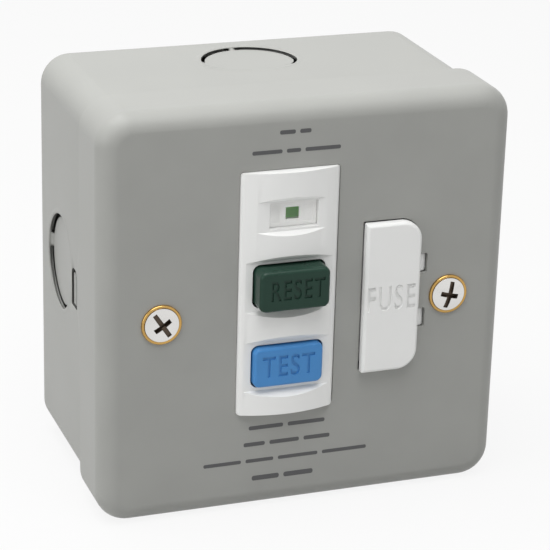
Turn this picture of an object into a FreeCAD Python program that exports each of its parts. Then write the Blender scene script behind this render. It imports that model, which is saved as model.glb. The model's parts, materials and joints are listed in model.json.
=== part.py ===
"""Metal-clad fused spur unit with a residual current device, in a surface box.

Frame: the origin is the centre of the box's back face, +X to the right as seen from
the front, +Z up, +Y into the wall. Sizes called depth are distances forward from the
wall, so a depth of 50 is the plane y = -50. All lengths are in millimetres.
"""
import FreeCAD
import Part
import math
import os
import re
import Sketcher

SIZES = {
    # pressed front plate
    "plate_width": 85.0,
    "plate_height": 85.0,
    "plate_corner": 6.5,
    "plate_roll": 4.0,
    "plate_wall": 1.0,
    "skirt_depth": 15.0,
    "unit_depth": 50.0,
    "joint_overlap": 1.0,
    # drawn back box
    "box_depth": 39.0,
    "box_wall": 1.0,
    "box_corner": 6.0,
    "box_rear_bevel": 0.6,
    "skirt_clearance": 0.2,
    "bevel_share": 0.45,
    # knockouts, lug slot and wall fixing holes of the box
    "knockout_diameter": 20.0,
    "knockout_slit": 1.2,
    "knockout_bridge": 2.7,
    "knockout_depth": 16.5,
    "knockout_rise": 2.0,
    "top_knockout_x": -1.3,
    "lug_slot_depth": 27.2,
    "lug_slot_width": 3.2,
    "lug_slot_length": 8.2,
    "wall_hole_diameter": 4.8,
    "wall_hole_centres": 50.8,
    # plate screws, their cups and the lugs that they pull against
    "screw_centres": 60.3,
    "screw_diameter": 3.5,
    "screw_reach": 17.0,
    "screw_head_diameter": 7.0,
    "screw_head_crown": 0.8,
    "recess_width": 1.0,
    "recess_span": 4.2,
    "recess_depth": 1.5,
    "cup_diameter": 8.2,
    "cup_lip": 0.5,
    "cup_sheet": 0.3,
    "cup_rim": 0.2,
    "lug_sheet": 1.5,
    "lug_width": 12.0,
    "lug_face_depth": 38.0,
    "lug_tail": 14.0,
    "lug_reach": 3.2,
    "thread_clearance": 0.05,
    # white module front that carries the lens and the two buttons
    "module_width": 20.5,
    "module_height": 50.7,
    "module_x": -4.35,
    "module_z": 4.15,
    "module_edge": 0.3,
    "module_crown": 2.0,
    "module_gap": 0.15,
    "module_wall": 1.6,
    "flange_margin": 2.0,
    "flange_sheet": 1.6,
    "pad_slope": 0.9,
    "lens_pad_floor": 51.4,
    "lens_pad_low": 17.4,
    "lens_pad_high": 23.6,
    "reset_pad_floor": 50.8,
    "reset_pad_low": 0.9,
    "reset_pad_high": 11.1,
    "test_pad_floor": 50.8,
    "test_pad_low": -16.1,
    "test_pad_high": -5.8,
    # indicator lens, mask and flag
    "lens_width": 9.9,
    "lens_height": 5.2,
    "lens_x": -3.9,
    "lens_z": 20.6,
    "lens_gap": 0.1,
    "lens_rim": 1.0,
    "lens_rim_sheet": 0.8,
    "mask_sheet": 0.6,
    "flag_aperture_width": 2.8,
    "flag_aperture_height": 2.5,
    "flag_width": 3.8,
    "flag_sheet": 0.8,
    "flag_travel": 3.1,
    # push buttons
    "button_width": 14.5,
    "button_height": 8.4,
    "button_corner": 1.4,
    "button_edge": 0.7,
    "button_gap": 0.3,
    "button_rim": 1.0,
    "button_rim_sheet": 1.0,
    "button_stop": 0.3,
    "button_z_reset": 6.1,
    "button_z_test": -10.9,
    "reset_face_depth": 54.8,
    "test_face_depth": 52.2,
    "test_travel": 1.2,
    "stem_diameter": 3.0,
    "stem_reach": 3.0,
    "stem_gap": 0.3,
    "spring_diameter": 4.6,
    "spring_wire": 0.4,
    "spring_turns": 2.0,
    "spring_seat_gap": 0.1,
    # hinged fuse carrier, fuse, clips and hinge pin
    "cap_left": 11.4,
    "cap_right": 23.3,
    "cap_low": -14.7,
    "cap_high": 17.0,
    "cap_face_depth": 52.0,
    "cap_lift": 0.1,
    "cap_corner": 4.2,
    "cap_bevel": 0.5,
    "cap_gap": 0.2,
    "hinge_x": 24.3,
    "hinge_depth": 48.2,
    "hinge_pin_diameter": 1.0,
    "hinge_clearance": 0.05,
    "pin_tail": 1.5,
    "knuckle_diameter": 2.2,
    "knuckle_high": 7.15,
    "knuckle_low": -4.6,
    "notch_height": 4.2,
    "notch_right": 25.35,
    "knuckle_side_gap": 0.3,
    "arm_right": 23.4,
    "arm_width": 1.8,
    "carrier_arc_gap": 0.4,
    "carrier_wall": 1.3,
    "carrier_depth": 8.2,
    "fuse_diameter": 6.3,
    "fuse_length": 25.4,
    "fuse_cap_length": 6.0,
    "fuse_tube_step": 0.25,
    "fuse_x": 16.8,
    "fuse_depth": 44.0,
    "fuse_end_gap": 0.2,
    "clip_sheet": 0.6,
    "clip_gap": 0.15,
    "clip_length": 5.0,
    # moulded housing behind the plate
    "housing_width": 53.0,
    "housing_low": -31.0,
    "housing_high": 33.5,
    "housing_wall": 1.6,
    "housing_rear_depth": 13.0,
    "deck_depth": 22.0,
    "housing_corner": 3.0,
    "bay_left": 10.6,
    "bay_floor_depth": 37.0,
    "bay_margin": 0.4,
    "ear_width": 9.0,
    "ear_hole_gap": 0.3,
    "hinge_rail": 0.8,
    "frame_seat_inset": 4.0,
    "frame_seat_length": 8.0,
    # circuit board, sensing transformer and test parts
    "board_sheet": 1.6,
    "board_lift": 1.5,
    "board_margin": 1.4,
    "board_post_side": 3.0,
    "board_post_inset": 4.0,
    "core_diameter": 17.0,
    "core_hole": 8.0,
    "core_height": 6.0,
    "core_x": -14.0,
    "core_z": -18.5,
    "resistor_diameter": 2.6,
    "resistor_length": 7.0,
    "resistor_x": 4.5,
    "resistor_z": -20.0,
    "leaf_sheet": 0.4,
    "leaf_width": 4.0,
    "leaf_length": 8.0,
    # frame that backs the module front and guides the mechanism
    "frame_depth": 38.0,
    "frame_sheet": 1.6,
    "frame_pillar": 1.8,
    "rail_sheet": 1.2,
    "rail_gap": 0.3,
    # contacts, carriage and solenoid
    "carriage_width": 17.0,
    "carriage_height": 9.0,
    "carriage_sheet": 3.0,
    "carriage_rear_depth": 27.2,
    "contact_travel": 2.5,
    "contact_gap": 0.3,
    "bridge_width": 2.5,
    "bridge_sheet": 0.8,
    "bridge_overhang": 3.2,
    "bridge_offset": 5.0,
    "anvil_depth": 2.0,
    "coil_diameter": 9.0,
    "coil_length": 12.0,
    "coil_cheek": 0.8,
    "coil_x": -17.5,
    "coil_z": 23.0,
    "yoke_sheet": 1.2,
    "yoke_width": 9.0,
    "plunger_diameter": 3.0,
    "plunger_gap": 0.3,
    "plunger_nose": 3.0,
    # wiring terminals
    "terminal_side": 8.0,
    "terminal_depth": 7.0,
    "terminal_pitch": 15.0,
    "terminal_bore": 4.2,
    "terminal_bore_depth": 3.0,
    "terminal_screw_diameter": 3.5,
    "terminal_row_inset": 8.0,
    "terminal_recess_gap": 0.2,
    "terminal_sink": 0.8,
    "screw_proud": 0.5,
    "screw_nip": 0.6,
    # earth terminal on the floor of the box
    "box_earth_x": -27.5,
    "box_earth_z": -26.0,
    "box_earth_height": 6.5,
    "box_earth_length": 10.0,
    "box_earth_way": 3.6,
    "box_earth_floor": 0.9,
}

DOC = FreeCAD.newDocument("SpurUnit")
SHEET = DOC.addObject("Spreadsheet::Sheet", "Sizes")


def fill_sheet():
    """One row for each driving dimension: its name, its value and its alias."""
    for row, (name, value) in enumerate(SIZES.items(), start=1):
        SHEET.set(f"A{row}", name)
        SHEET.set(f"B{row}", str(value))
        SHEET.setAlias(f"B{row}", name)
    DOC.recompute()


def size(name):
    return SHEET.get(name)


def formula(text):
    """Sheet formula in which each plain size name is looked up in the spreadsheet."""
    def cell(match):
        word = match.group(0)
        return f"Sizes.{word}" if word in SIZES else word
    return re.sub(r"[a-z][a-z0-9_]*", cell, f"({text})")


def bind(thing, **formulas):
    for name, text in formulas.items():
        thing.setExpression(name, formula(text))


# Places that several pieces share, as formulas of the sizes

BOX_WIDTH = "(plate_width - 2 * plate_wall - 2 * skirt_clearance)"
BOX_HEIGHT = "(plate_height - 2 * plate_wall - 2 * skirt_clearance)"
PLATE_INNER = "(unit_depth - plate_wall)"
SCREW_X = "(screw_centres / 2)"
MODULE_CREST = "(unit_depth + module_edge + module_crown)"
MODULE_CAVITY = "(reset_pad_floor - module_wall)"
FLANGE_REAR = "(unit_depth - plate_wall - flange_sheet)"
LENS_RIM_REAR = f"({MODULE_CAVITY} - lens_rim_sheet)"
MASK_REAR = f"({LENS_RIM_REAR} - mask_sheet)"
BUTTON_RIM_FRONT = f"({MODULE_CAVITY} - button_stop)"
BUTTON_RIM_REAR = f"({BUTTON_RIM_FRONT} - button_rim_sheet)"
FRAME_FRONT = "(frame_depth + frame_sheet)"
STEM_END = "(frame_depth - stem_reach / 2)"
CAP_UNDER = "(unit_depth + cap_lift)"
HOUSING_SIDE = "(housing_width / 2)"
CHAMBER_LEFT = f"(housing_wall - {HOUSING_SIDE})"
CHAMBER_RIGHT = "(bay_left - housing_wall)"
CHAMBER_LOW = "(housing_low + housing_wall)"
CHAMBER_HIGH = "(housing_high - housing_wall)"
BOARD_REAR = "(deck_depth + board_lift)"
BOARD_FRONT = f"({BOARD_REAR} + board_sheet)"
CARRIER_RADIUS = "(hinge_x - cap_left + cap_gap - carrier_arc_gap)"
FUSE_Z = "((cap_low + cap_high) / 2)"
FUSE_LOW = f"({FUSE_Z} - fuse_length / 2)"
FUSE_HIGH = f"({FUSE_Z} + fuse_length / 2)"
COIL_DEPTH = f"({BOARD_FRONT} + yoke_sheet + coil_diameter / 2)"
TERMINAL_BORE = "(housing_rear_depth + terminal_sink + terminal_depth - terminal_bore_depth)"
CARRIAGE_FRONT = "(carriage_rear_depth + carriage_sheet)"
BRIDGE_FRONT = f"({CARRIAGE_FRONT} + bridge_sheet)"
SLOT_END_SHARE = 0.48
TONGUE_WIDTH_SHARE = 0.6
TONGUE_LENGTH_SHARE = 0.8
TONGUE_LEAD_SHARE = 0.1
CLIP_ARC_SHARE = 0.45
ANVIL_REAR = f"({BRIDGE_FRONT} + contact_travel + contact_gap)"


# Building blocks

def origin_plane(body, role):
    return next(f for f in body.Origin.OriginFeatures if f.Role == role)


def new_body(label):
    body = DOC.addObject("PartDesign::Body", label)
    body.Label = label
    return body


def new_sketch(body, name, depth="0", plane="XZ_Plane", across="0", up="0"):
    """Sketch on a plane of the body; on XZ_Plane its offset runs forward from the wall."""
    sketch = body.newObject("Sketcher::SketchObject", name)
    sketch.AttachmentSupport = [(origin_plane(body, plane), "")]
    sketch.MapMode = "FlatFace"
    sketch.setExpression(".AttachmentOffset.Base.z", formula(depth))
    sketch.setExpression(".AttachmentOffset.Base.x", formula(across))
    sketch.setExpression(".AttachmentOffset.Base.y", formula(up))
    return sketch


def hold(sketch, kind, geometry, point, value, text):
    """Dimension from the sketch's origin to a point, bound to a formula."""
    index = sketch.addConstraint(Sketcher.Constraint(kind, -1, 1, geometry, point, value))
    sketch.setExpression(f"Constraints[{index}]", formula(text))


def polygon(sketch, corners):
    """Closed outline with straight sides; corners are pairs of formulas."""
    count = len(corners)
    angles = [2 * math.pi * i / count + 0.3 for i in range(count)]
    guess = [FreeCAD.Vector(math.cos(a), math.sin(a), 0) for a in angles]
    for i in range(count):
        sketch.addGeometry(Part.LineSegment(guess[i], guess[(i + 1) % count]))
    for i in range(count):
        sketch.addConstraint(Sketcher.Constraint("Coincident", i, 2, (i + 1) % count, 1))
    for i, (across, up) in enumerate(corners):
        hold(sketch, "DistanceX", i, 1, guess[i].x, across)
        hold(sketch, "DistanceY", i, 1, guess[i].y, up)


def rectangle(sketch, left, right, low, high):
    polygon(sketch, [(left, low), (right, low), (right, high), (left, high)])


def centred(sketch, width, height, across="0", up="0"):
    rectangle(sketch, f"{across} - {width} / 2", f"{across} + {width} / 2",
              f"{up} - {height} / 2", f"{up} + {height} / 2")


def circle(sketch, diameter, across="0", up="0"):
    ring = sketch.addGeometry(Part.Circle(FreeCAD.Vector(1, 1, 0), FreeCAD.Vector(0, 0, 1), 1))
    hold(sketch, "DistanceX", ring, 3, 1, across)
    hold(sketch, "DistanceY", ring, 3, 1, up)
    index = sketch.addConstraint(Sketcher.Constraint("Diameter", ring, 2))
    sketch.setExpression(f"Constraints[{index}]", formula(diameter))


def extrude(body, kind, name, sketch, length, rearward=False, both_ways=False):
    """Pad or Pocket of a sketch, forward unless rearward, over a bound length."""
    feature = body.newObject(f"PartDesign::{kind}", name)
    feature.Profile = sketch
    feature.Reversed = rearward if kind == "Pad" else not rearward
    if both_ways:
        feature.SideType = "Symmetric"
    bind(feature, Length=length)
    return feature


def pad(body, name, sketch, length, rearward=False, both_ways=False):
    return extrude(body, "Pad", name, sketch, length, rearward, both_ways)


def pocket(body, name, sketch, length, rearward=True, both_ways=False):
    return extrude(body, "Pocket", name, sketch, length, rearward, both_ways)


def round_edges(body, name, base, radius, chosen, kind="Fillet"):
    """Fillet or chamfer on the edges of base for which chosen(edge) is true."""
    DOC.recompute()
    names = [f"Edge{i}" for i, edge in enumerate(base.Shape.Edges, start=1) if chosen(edge)]
    feature = body.newObject(f"PartDesign::{kind}", name)
    feature.Base = (base, names)
    bind(feature, **{"Radius" if kind == "Fillet" else "Size": radius})
    return feature


def runs_forward(edge):
    box = edge.BoundBox
    return box.YLength > 4 * max(box.XLength, box.ZLength, 1e-6)


def lies_at_depth(edge, depth):
    box = edge.BoundBox
    return abs(box.YMin + depth) < 1e-4 and abs(box.YMax + depth) < 1e-4


def primitive(kind, label, place, **formulas):
    """Part primitive; place is a triple of formulas for x, depth and z of its corner or foot."""
    thing = DOC.addObject(kind, label)
    thing.Label = label
    bind(thing, **formulas)
    x, depth, z = place
    thing.setExpression(".Placement.Base.x", formula(x))
    thing.setExpression(".Placement.Base.y", formula(f"-({depth})"))
    thing.setExpression(".Placement.Base.z", formula(z))
    return thing


def block(label, x, depth, z):
    """Box between pairs of formulas for its left and right, rear and front, low and high sides."""
    return primitive("Part::Box", label, (x[0], depth[1], z[0]), Length=f"{x[1]} - ({x[0]})",
                     Width=f"{depth[1]} - ({depth[0]})", Height=f"{z[1]} - ({z[0]})")


def forward_rod(label, diameter, x, z, rear, front):
    """Round bar that points forward from the wall."""
    rod = primitive("Part::Cylinder", label, (x, rear, z), Radius=f"({diameter}) / 2",
                    Height=f"{front} - ({rear})")
    rod.Placement.Rotation = FreeCAD.Rotation(FreeCAD.Vector(1, 0, 0), 90)
    return rod


def upright_rod(label, diameter, x, depth, low, high):
    return primitive("Part::Cylinder", label, (x, depth, low), Radius=f"({diameter}) / 2",
                     Height=f"{high} - ({low})")


def fused(label, *pieces):
    joined = DOC.addObject("Part::MultiFuse", label)
    joined.Label = label
    joined.Shapes = list(pieces)
    joined.Refine = True
    return joined


def cut(label, base, tool):
    result = DOC.addObject("Part::Cut", label)
    result.Label = label
    result.Base = base
    result.Tool = tool
    result.Refine = True
    return result


def common(label, *pieces):
    result = DOC.addObject("Part::MultiCommon", label)
    result.Label = label
    result.Shapes = list(pieces)
    return result


def group(label, *pieces):
    """Separate solids of one kind that share a node."""
    result = DOC.addObject("Part::Compound", label)
    result.Label = label
    result.Links = list(pieces)
    return result


def turned(label, place, points):
    """Solid of revolution about a forward axis; points are pairs of radius and depth formulas."""
    body = new_body(label)
    x, z = place
    sketch = new_sketch(body, f"{label}_profile", plane="XY_Plane")
    polygon(sketch, [(radius, f"-({depth})") for radius, depth in points])
    spin = body.newObject("PartDesign::Revolution", f"{label}_turn")
    spin.Profile = sketch
    spin.ReferenceAxis = (sketch, ["V_Axis"])
    spin.Angle = 360
    body.setExpression(".Placement.Base.x", formula(x))
    body.setExpression(".Placement.Base.z", formula(z))
    return body


# Sheet metal

def pressed_shell(body, width, height, corner, roll, wall, mouth, length, closed,
                  outer_bend="Fillet"):
    """Tray pressed from sheet: rounded corners and a bent edge round its closed face.

    mouth is the formula of its rim's depth, and closed the depth of its closed face as a
    number. The tray closes forward of its rim where closed is the larger. Its inner
    corners are made before its outer ones, which would else break through them, and the
    bend is a plain bevel inside.
    """
    forward = closed > size("box_depth")
    inward = -size(wall) if forward else size(wall)
    for name, step, make in (("outer", "0", pad), ("inner", wall, pocket)):
        rim = new_sketch(body, f"{body.Label}_{name}_rim", mouth)
        centred(rim, f"({width} - 2 * {step})", f"({height} - 2 * {step})")
        feature = make(body, f"{body.Label}_{name}", rim, f"{length} - {step}",
                       rearward=not forward)
    DOC.recompute()
    between = feature.Shape.BoundBox.ZMax - size(wall) / 2
    for name, step, shift, kind, bend in (
            ("inner", wall, inward, "Chamfer", f"{roll} * bevel_share"),
            ("outer", "0", 0, outer_bend, roll)):

        def is_corner(edge):
            inside = edge.BoundBox.Center.z ** 2 < between ** 2
            return runs_forward(edge) and inside == (name == "inner")

        feature = round_edges(body, f"{body.Label}_{name}_corners", feature,
                              f"{corner} - {step}", is_corner)
        feature = round_edges(body, f"{body.Label}_{name}_bend", feature, bend,
                              lambda edge: lies_at_depth(edge, closed + shift), kind)
    return feature


def front_plate():
    """Deep pressed cover with the module window, the fuse opening and two cup holes."""
    body = new_body("front_plate")
    pressed_shell(body, "plate_width", "plate_height", "plate_corner", "plate_roll",
                  "plate_wall", "unit_depth - skirt_depth", "skirt_depth", size("unit_depth"))
    window = new_sketch(body, "module_window", "unit_depth")
    centred(window, "(module_width + 2 * module_gap)", "(module_height + 2 * module_gap)",
            "module_x", "module_z")
    pocket(body, "module_window_cut", window, "2 * plate_wall")
    opening = new_sketch(body, "fuse_opening", "unit_depth")
    rectangle(opening, "cap_left - cap_gap", "cap_right + cap_gap", "cap_low - cap_gap",
              "cap_high + cap_gap")
    opened = pocket(body, "fuse_opening_cut", opening, "2 * plate_wall")
    DOC.recompute()
    right = size("cap_right") + size("cap_gap")
    round_edges(body, "fuse_opening_corners", opened, "cap_corner + cap_gap",
                lambda edge: runs_forward(edge) and abs(edge.BoundBox.Center.x - right) < 0.01)
    for name, rise in (("upper", "knuckle_high"), ("lower", "knuckle_low")):
        notch = new_sketch(body, f"{name}_notch", "unit_depth")
        rectangle(notch, "cap_right", "notch_right", f"{rise} - notch_height / 2",
                  f"{rise} + notch_height / 2")
        pocket(body, f"{name}_notch_cut", notch, "2 * plate_wall")
    for name, side in (("left", "-"), ("right", "")):
        hole = new_sketch(body, f"{name}_cup_hole", "unit_depth")
        circle(hole, "screw_head_diameter + 2 * (cup_rim + thread_clearance)", f"{side}{SCREW_X}")
        pocket(body, f"{name}_cup_hole_cut", hole, "2 * plate_wall")
    return body


def knockout_slits(label, reach, turn, place):
    """Tools that cut the rear half of a knockout's ring through a wall, but for its bridge."""
    outer = primitive("Part::Cylinder", f"{label}_outer", ("0", "0", "0"),
                      Radius="knockout_diameter / 2", Height=reach)
    inner = primitive("Part::Cylinder", f"{label}_inner", ("0", "0", "0"),
                      Radius="knockout_diameter / 2 - knockout_slit", Height=reach)
    ring = cut(f"{label}_ring", outer, inner)
    rear_half = primitive("Part::Box", f"{label}_half", ("-knockout_diameter", "0", "0"),
                          Length="2 * knockout_diameter", Width="knockout_diameter",
                          Height=reach)
    arc = common(f"{label}_arc", ring, rear_half)
    bridge = primitive("Part::Box", f"{label}_bridge",
                       ("-knockout_bridge / 2", "0", "0"),
                       Length="knockout_bridge", Width="knockout_diameter", Height=reach)
    slit = cut(f"{label}_slit", arc, bridge)
    slit.Placement.Rotation = turn
    x, depth, z = place
    slit.setExpression(".Placement.Base.x", formula(x))
    slit.setExpression(".Placement.Base.y", formula(f"-({depth})"))
    slit.setExpression(".Placement.Base.z", formula(z))
    return slit


def back_box():
    """Drawn surface box with knockouts, wall fixing holes and the slot of the left lug."""
    body = new_body("box_shell")
    pressed_shell(body, BOX_WIDTH, BOX_HEIGHT, "box_corner", "box_rear_bevel", "box_wall",
                  "box_depth", "box_depth", 0.0, outer_bend="Chamfer")
    for name, side in (("left", "-"), ("right", "")):
        hole = new_sketch(body, f"{name}_wall_hole", "box_wall")
        circle(hole, "wall_hole_diameter", f"{side}wall_hole_centres / 2")
        pocket(body, f"{name}_wall_hole_cut", hole, "2 * box_wall")
    slot = new_sketch(body, "lug_slot", plane="YZ_Plane", depth=f"-{BOX_WIDTH} / 2")
    centred(slot, "lug_slot_width", "lug_slot_length", "-lug_slot_depth")
    slotted = pocket(body, "lug_slot_cut", slot, "4 * box_wall", both_ways=True)
    left = -(size("plate_width") / 2 - size("plate_wall") - size("skirt_clearance"))
    middle = size("lug_slot_depth")
    DOC.recompute()

    def is_slot_end(edge):
        box = edge.BoundBox
        near = abs(box.Center.x - left) < 2 and abs(box.Center.y + middle) < 3
        return near and box.XLength > 0.5 and box.YLength < 0.1 and box.ZLength < 0.1

    round_edges(body, "lug_slot_ends", slotted, f"{SLOT_END_SHARE} * lug_slot_width", is_slot_end)
    turn = FreeCAD.Rotation
    across = FreeCAD.Vector(0, 0, 1)
    upright = turn()
    sideways = turn(FreeCAD.Vector(0, 1, 0), 90)
    facing = turn(FreeCAD.Vector(1, 0, 0), 90)
    half_box = f"{BOX_WIDTH} / 2"
    half_tall = f"{BOX_HEIGHT} / 2"
    reach = "4 * box_wall"
    slits = [
        knockout_slits("top_knockout", reach, upright,
                       ("top_knockout_x", "knockout_depth", f"{half_tall} - 3 * box_wall")),
        knockout_slits("bottom_knockout", reach, upright,
                       ("0", "knockout_depth", f"-{half_tall} - box_wall")),
        knockout_slits("left_knockout", reach, sideways,
                       (f"-{half_box} - box_wall", "knockout_depth", "knockout_rise")),
        knockout_slits("right_knockout", reach, sideways,
                       (f"{half_box} - 3 * box_wall", "knockout_depth", "knockout_rise")),
        knockout_slits("rear_knockout", reach, turn(across, 0) * facing,
                       ("0", "-box_wall", "0")),
    ]
    return cut("back_box", body, fused("knockout_slits", *slits))


def lug(label, side, tongue):
    """Folded lug on a side wall: its flange lies on the wall and its foot takes the screw."""
    wall_x = f"({BOX_WIDTH} / 2 - box_wall)"
    body = new_body(label)
    profile = new_sketch(body, f"{label}_profile", plane="XY_Plane",
                         depth="-lug_width / 2")
    inner = f"({SCREW_X} - lug_reach)"
    points = [
        (wall_x, "lug_face_depth - lug_tail"),
        (wall_x, "lug_face_depth"),
        (inner, "lug_face_depth"),
        (inner, "lug_face_depth - lug_sheet"),
        (f"{wall_x} - lug_sheet", "lug_face_depth - lug_sheet"),
        (f"{wall_x} - lug_sheet", "lug_face_depth - lug_tail"),
    ]
    polygon(profile, [(f"{side}({x})", f"-({depth})") for x, depth in points])
    pad(body, f"{label}_sheet", profile, "lug_width")
    hole = new_sketch(body, f"{label}_hole", "lug_face_depth")
    circle(hole, "screw_diameter + 2 * thread_clearance", f"{side}{SCREW_X}")
    pocket(body, f"{label}_hole_cut", hole, "2 * lug_sheet")
    if tongue:
        key = new_sketch(body, f"{label}_tongue", plane="YZ_Plane", depth=f"{side}{wall_x}")
        centred(key, f"lug_slot_width * {TONGUE_WIDTH_SHARE}",
                f"lug_slot_length * {TONGUE_LENGTH_SHARE}",
                f"-lug_slot_depth - lug_slot_width * {TONGUE_LEAD_SHARE}")
        pad(body, f"{label}_tongue_pad", key, "box_wall", rearward=True)
    return body


# Plate screws and their cups

def screw_cup(label, side):
    """Countersunk bush: its rim stands on the plate and its cone holds the screw head."""
    head = "(screw_head_diameter / 2)"
    throat = "(screw_diameter / 2 + cup_sheet)"
    under = f"(unit_depth + cup_lip - {head} + {throat})"
    return turned(label, (f"{side}{SCREW_X}", "0"), [
        (head, "unit_depth + cup_lip"),
        (throat, under),
        (f"{head} + cup_rim", under),
        (f"{head} + cup_rim", "unit_depth"),
        ("cup_diameter / 2", "unit_depth"),
        ("cup_diameter / 2", "unit_depth + cup_lip"),
    ])


def plate_screw(label, side, turn):
    """Raised countersunk machine screw with a cross recess, turned as it was left."""
    head = "(screw_head_diameter / 2 - thread_clearance)"
    top = "(unit_depth + cup_lip)"
    neck = f"({top} - {head} + screw_diameter / 2)"
    dome = f"(({head} * {head} + screw_head_crown * screw_head_crown) / (2 * screw_head_crown))"
    cone = primitive("Part::Cone", f"{label}_cone", ("0", neck, "0"), Radius1="screw_diameter / 2",
                     Radius2=head, Height=f"{top} - {neck}")
    cone.Placement.Rotation = FreeCAD.Rotation(FreeCAD.Vector(1, 0, 0), 90)
    shank = forward_rod(f"{label}_shank", "screw_diameter", "0", "0",
                        f"{top} - screw_reach", neck)
    blank = forward_rod(f"{label}_blank", f"(2 * {head})", "0", "0", top,
                        f"{top} + screw_head_crown")
    ball = primitive("Part::Sphere", f"{label}_ball", ("0", f"{top} + screw_head_crown - {dome}", "0"),
                     Radius=dome)
    crown = common(f"{label}_crown", blank, ball)
    arms = []
    for name, wide, tall in (("across", "recess_span", "recess_width"),
                             ("upright", "recess_width", "recess_span")):
        arms.append(block(f"{label}_recess_{name}", (f"-{wide} / 2", f"{wide} / 2"),
                          (f"{top} + screw_head_crown - recess_depth",
                           f"{top} + 2 * screw_head_crown"),
                          (f"-{tall} / 2", f"{tall} / 2")))
    screw = cut(label, fused(f"{label}_solid", shank, cone, crown),
                fused(f"{label}_recess", *arms))
    screw.Placement.Rotation = FreeCAD.Rotation(FreeCAD.Vector(0, 1, 0), turn)
    screw.setExpression(".Placement.Base.x", formula(f"{side}{SCREW_X}"))
    return screw


# White module front with its lens, mask and flag

def crowned_outline(sketch):
    """Cross-section of the module front: flat rear, straight sides and an arched front."""
    half = size("module_width") / 2
    middle = size("module_x")
    rear = -size("unit_depth") + size("plate_wall") + size("flange_sheet")
    edge = -size("unit_depth") - size("module_edge")
    crown = size("module_crown")
    bow = (half * half + crown * crown) / (2 * crown)
    left_edge = FreeCAD.Vector(middle - half, edge, 0)
    left_rear = FreeCAD.Vector(middle - half, rear, 0)
    right_rear = FreeCAD.Vector(middle + half, rear, 0)
    right_edge = FreeCAD.Vector(middle + half, edge, 0)
    for start, end in ((left_edge, left_rear), (left_rear, right_rear), (right_rear, right_edge)):
        sketch.addGeometry(Part.LineSegment(start, end))
    sweep = math.asin(half / bow)
    ring = Part.Circle(FreeCAD.Vector(middle, edge - crown + bow, 0), FreeCAD.Vector(0, 0, 1), bow)
    arch = sketch.addGeometry(
        Part.ArcOfCircle(ring, 1.5 * math.pi - sweep, 1.5 * math.pi + sweep))
    for first, second in (((0, 2), (1, 1)), ((1, 2), (2, 1)), ((2, 2), (arch, 2)),
                          ((arch, 1), (0, 1))):
        sketch.addConstraint(Sketcher.Constraint("Coincident", *first, *second))
    left = "module_x - module_width / 2"
    right = "module_x + module_width / 2"
    front = "-(unit_depth + module_edge)"
    for line, point, at, across, up in ((0, 1, left_edge, left, front),
                                        (0, 2, left_rear, left, f"-{FLANGE_REAR}"),
                                        (2, 1, right_rear, right, f"-{FLANGE_REAR}"),
                                        (2, 2, right_edge, right, front)):
        hold(sketch, "DistanceX", line, point, at.x, across)
        hold(sketch, "DistanceY", line, point, at.y, up)
    radius = sketch.addConstraint(Sketcher.Constraint("Radius", arch, bow))
    sketch.setExpression(f"Constraints[{radius}]", formula(
        "(module_width * module_width / 4 + module_crown * module_crown) / (2 * module_crown)"))


def module_front():
    """Arched fascia with three flat pads, its rear flange and openings for lens and buttons."""
    body = new_body("module_front")
    outline = new_sketch(body, "module_outline", plane="XY_Plane", depth="module_z")
    crowned_outline(outline)
    pad(body, "module_arch", outline, "module_height", both_ways=True)
    flange = new_sketch(body, "module_flange", FLANGE_REAR)
    centred(flange, "(module_width + 2 * flange_margin)", "(module_height + 2 * flange_margin)",
            "module_x", "module_z")
    pad(body, "module_flange_pad", flange, "flange_sheet")
    cavity = new_sketch(body, "module_cavity", FLANGE_REAR)
    centred(cavity, "(module_width - 2 * module_wall)", "(module_height - 2 * module_wall)",
            "module_x", "module_z")
    pocket(body, "module_cavity_cut", cavity, f"{MODULE_CAVITY} - {FLANGE_REAR}", rearward=False)
    for name in ("lens", "reset", "test"):
        floor = f"{name}_pad_floor"
        low = f"{name}_pad_low"
        high = f"{name}_pad_high"
        crest = f"({MODULE_CREST} + module_edge)"
        spread = f"pad_slope * ({crest} - {floor})"
        wedge = new_sketch(body, f"{name}_pad", plane="YZ_Plane", depth="module_x")
        polygon(wedge, [(f"-{floor}", low), (f"-{floor}", high),
                        (f"-{crest}", f"{high} + {spread}"), (f"-{crest}", f"{low} - {spread}")])
        pocket(body, f"{name}_pad_cut", wedge, "module_width + 2", both_ways=True)
    lens = new_sketch(body, "lens_opening", MODULE_CREST)
    centred(lens, "(lens_width + 2 * lens_gap)", "(lens_height + 2 * lens_gap)", "lens_x", "lens_z")
    pocket(body, "lens_opening_cut", lens, f"{MODULE_CREST} - {MODULE_CAVITY} + 1")
    for name in ("reset", "test"):
        opening = new_sketch(body, f"{name}_opening", MODULE_CREST)
        centred(opening, "(button_width + 2 * button_gap)", "(button_height + 2 * button_gap)",
                "module_x", f"button_z_{name}")
        feature = pocket(body, f"{name}_opening_cut", opening,
                         f"{MODULE_CREST} - {MODULE_CAVITY} + 1")
        DOC.recompute()
        middle = size(f"button_z_{name}")
        reach = size("button_height") / 2 + size("button_gap")
        wide = size("button_width") / 2 + size("button_gap")

        def is_corner(edge):
            centre = edge.BoundBox.Center
            aside = abs(abs(centre.x - size("module_x")) - wide) < 0.01
            return runs_forward(edge) and aside and abs(abs(centre.z - middle) - reach) < 0.01

        round_edges(body, f"{name}_opening_corners", feature, "button_corner + button_gap / 2",
                    is_corner)
    return body


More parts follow.
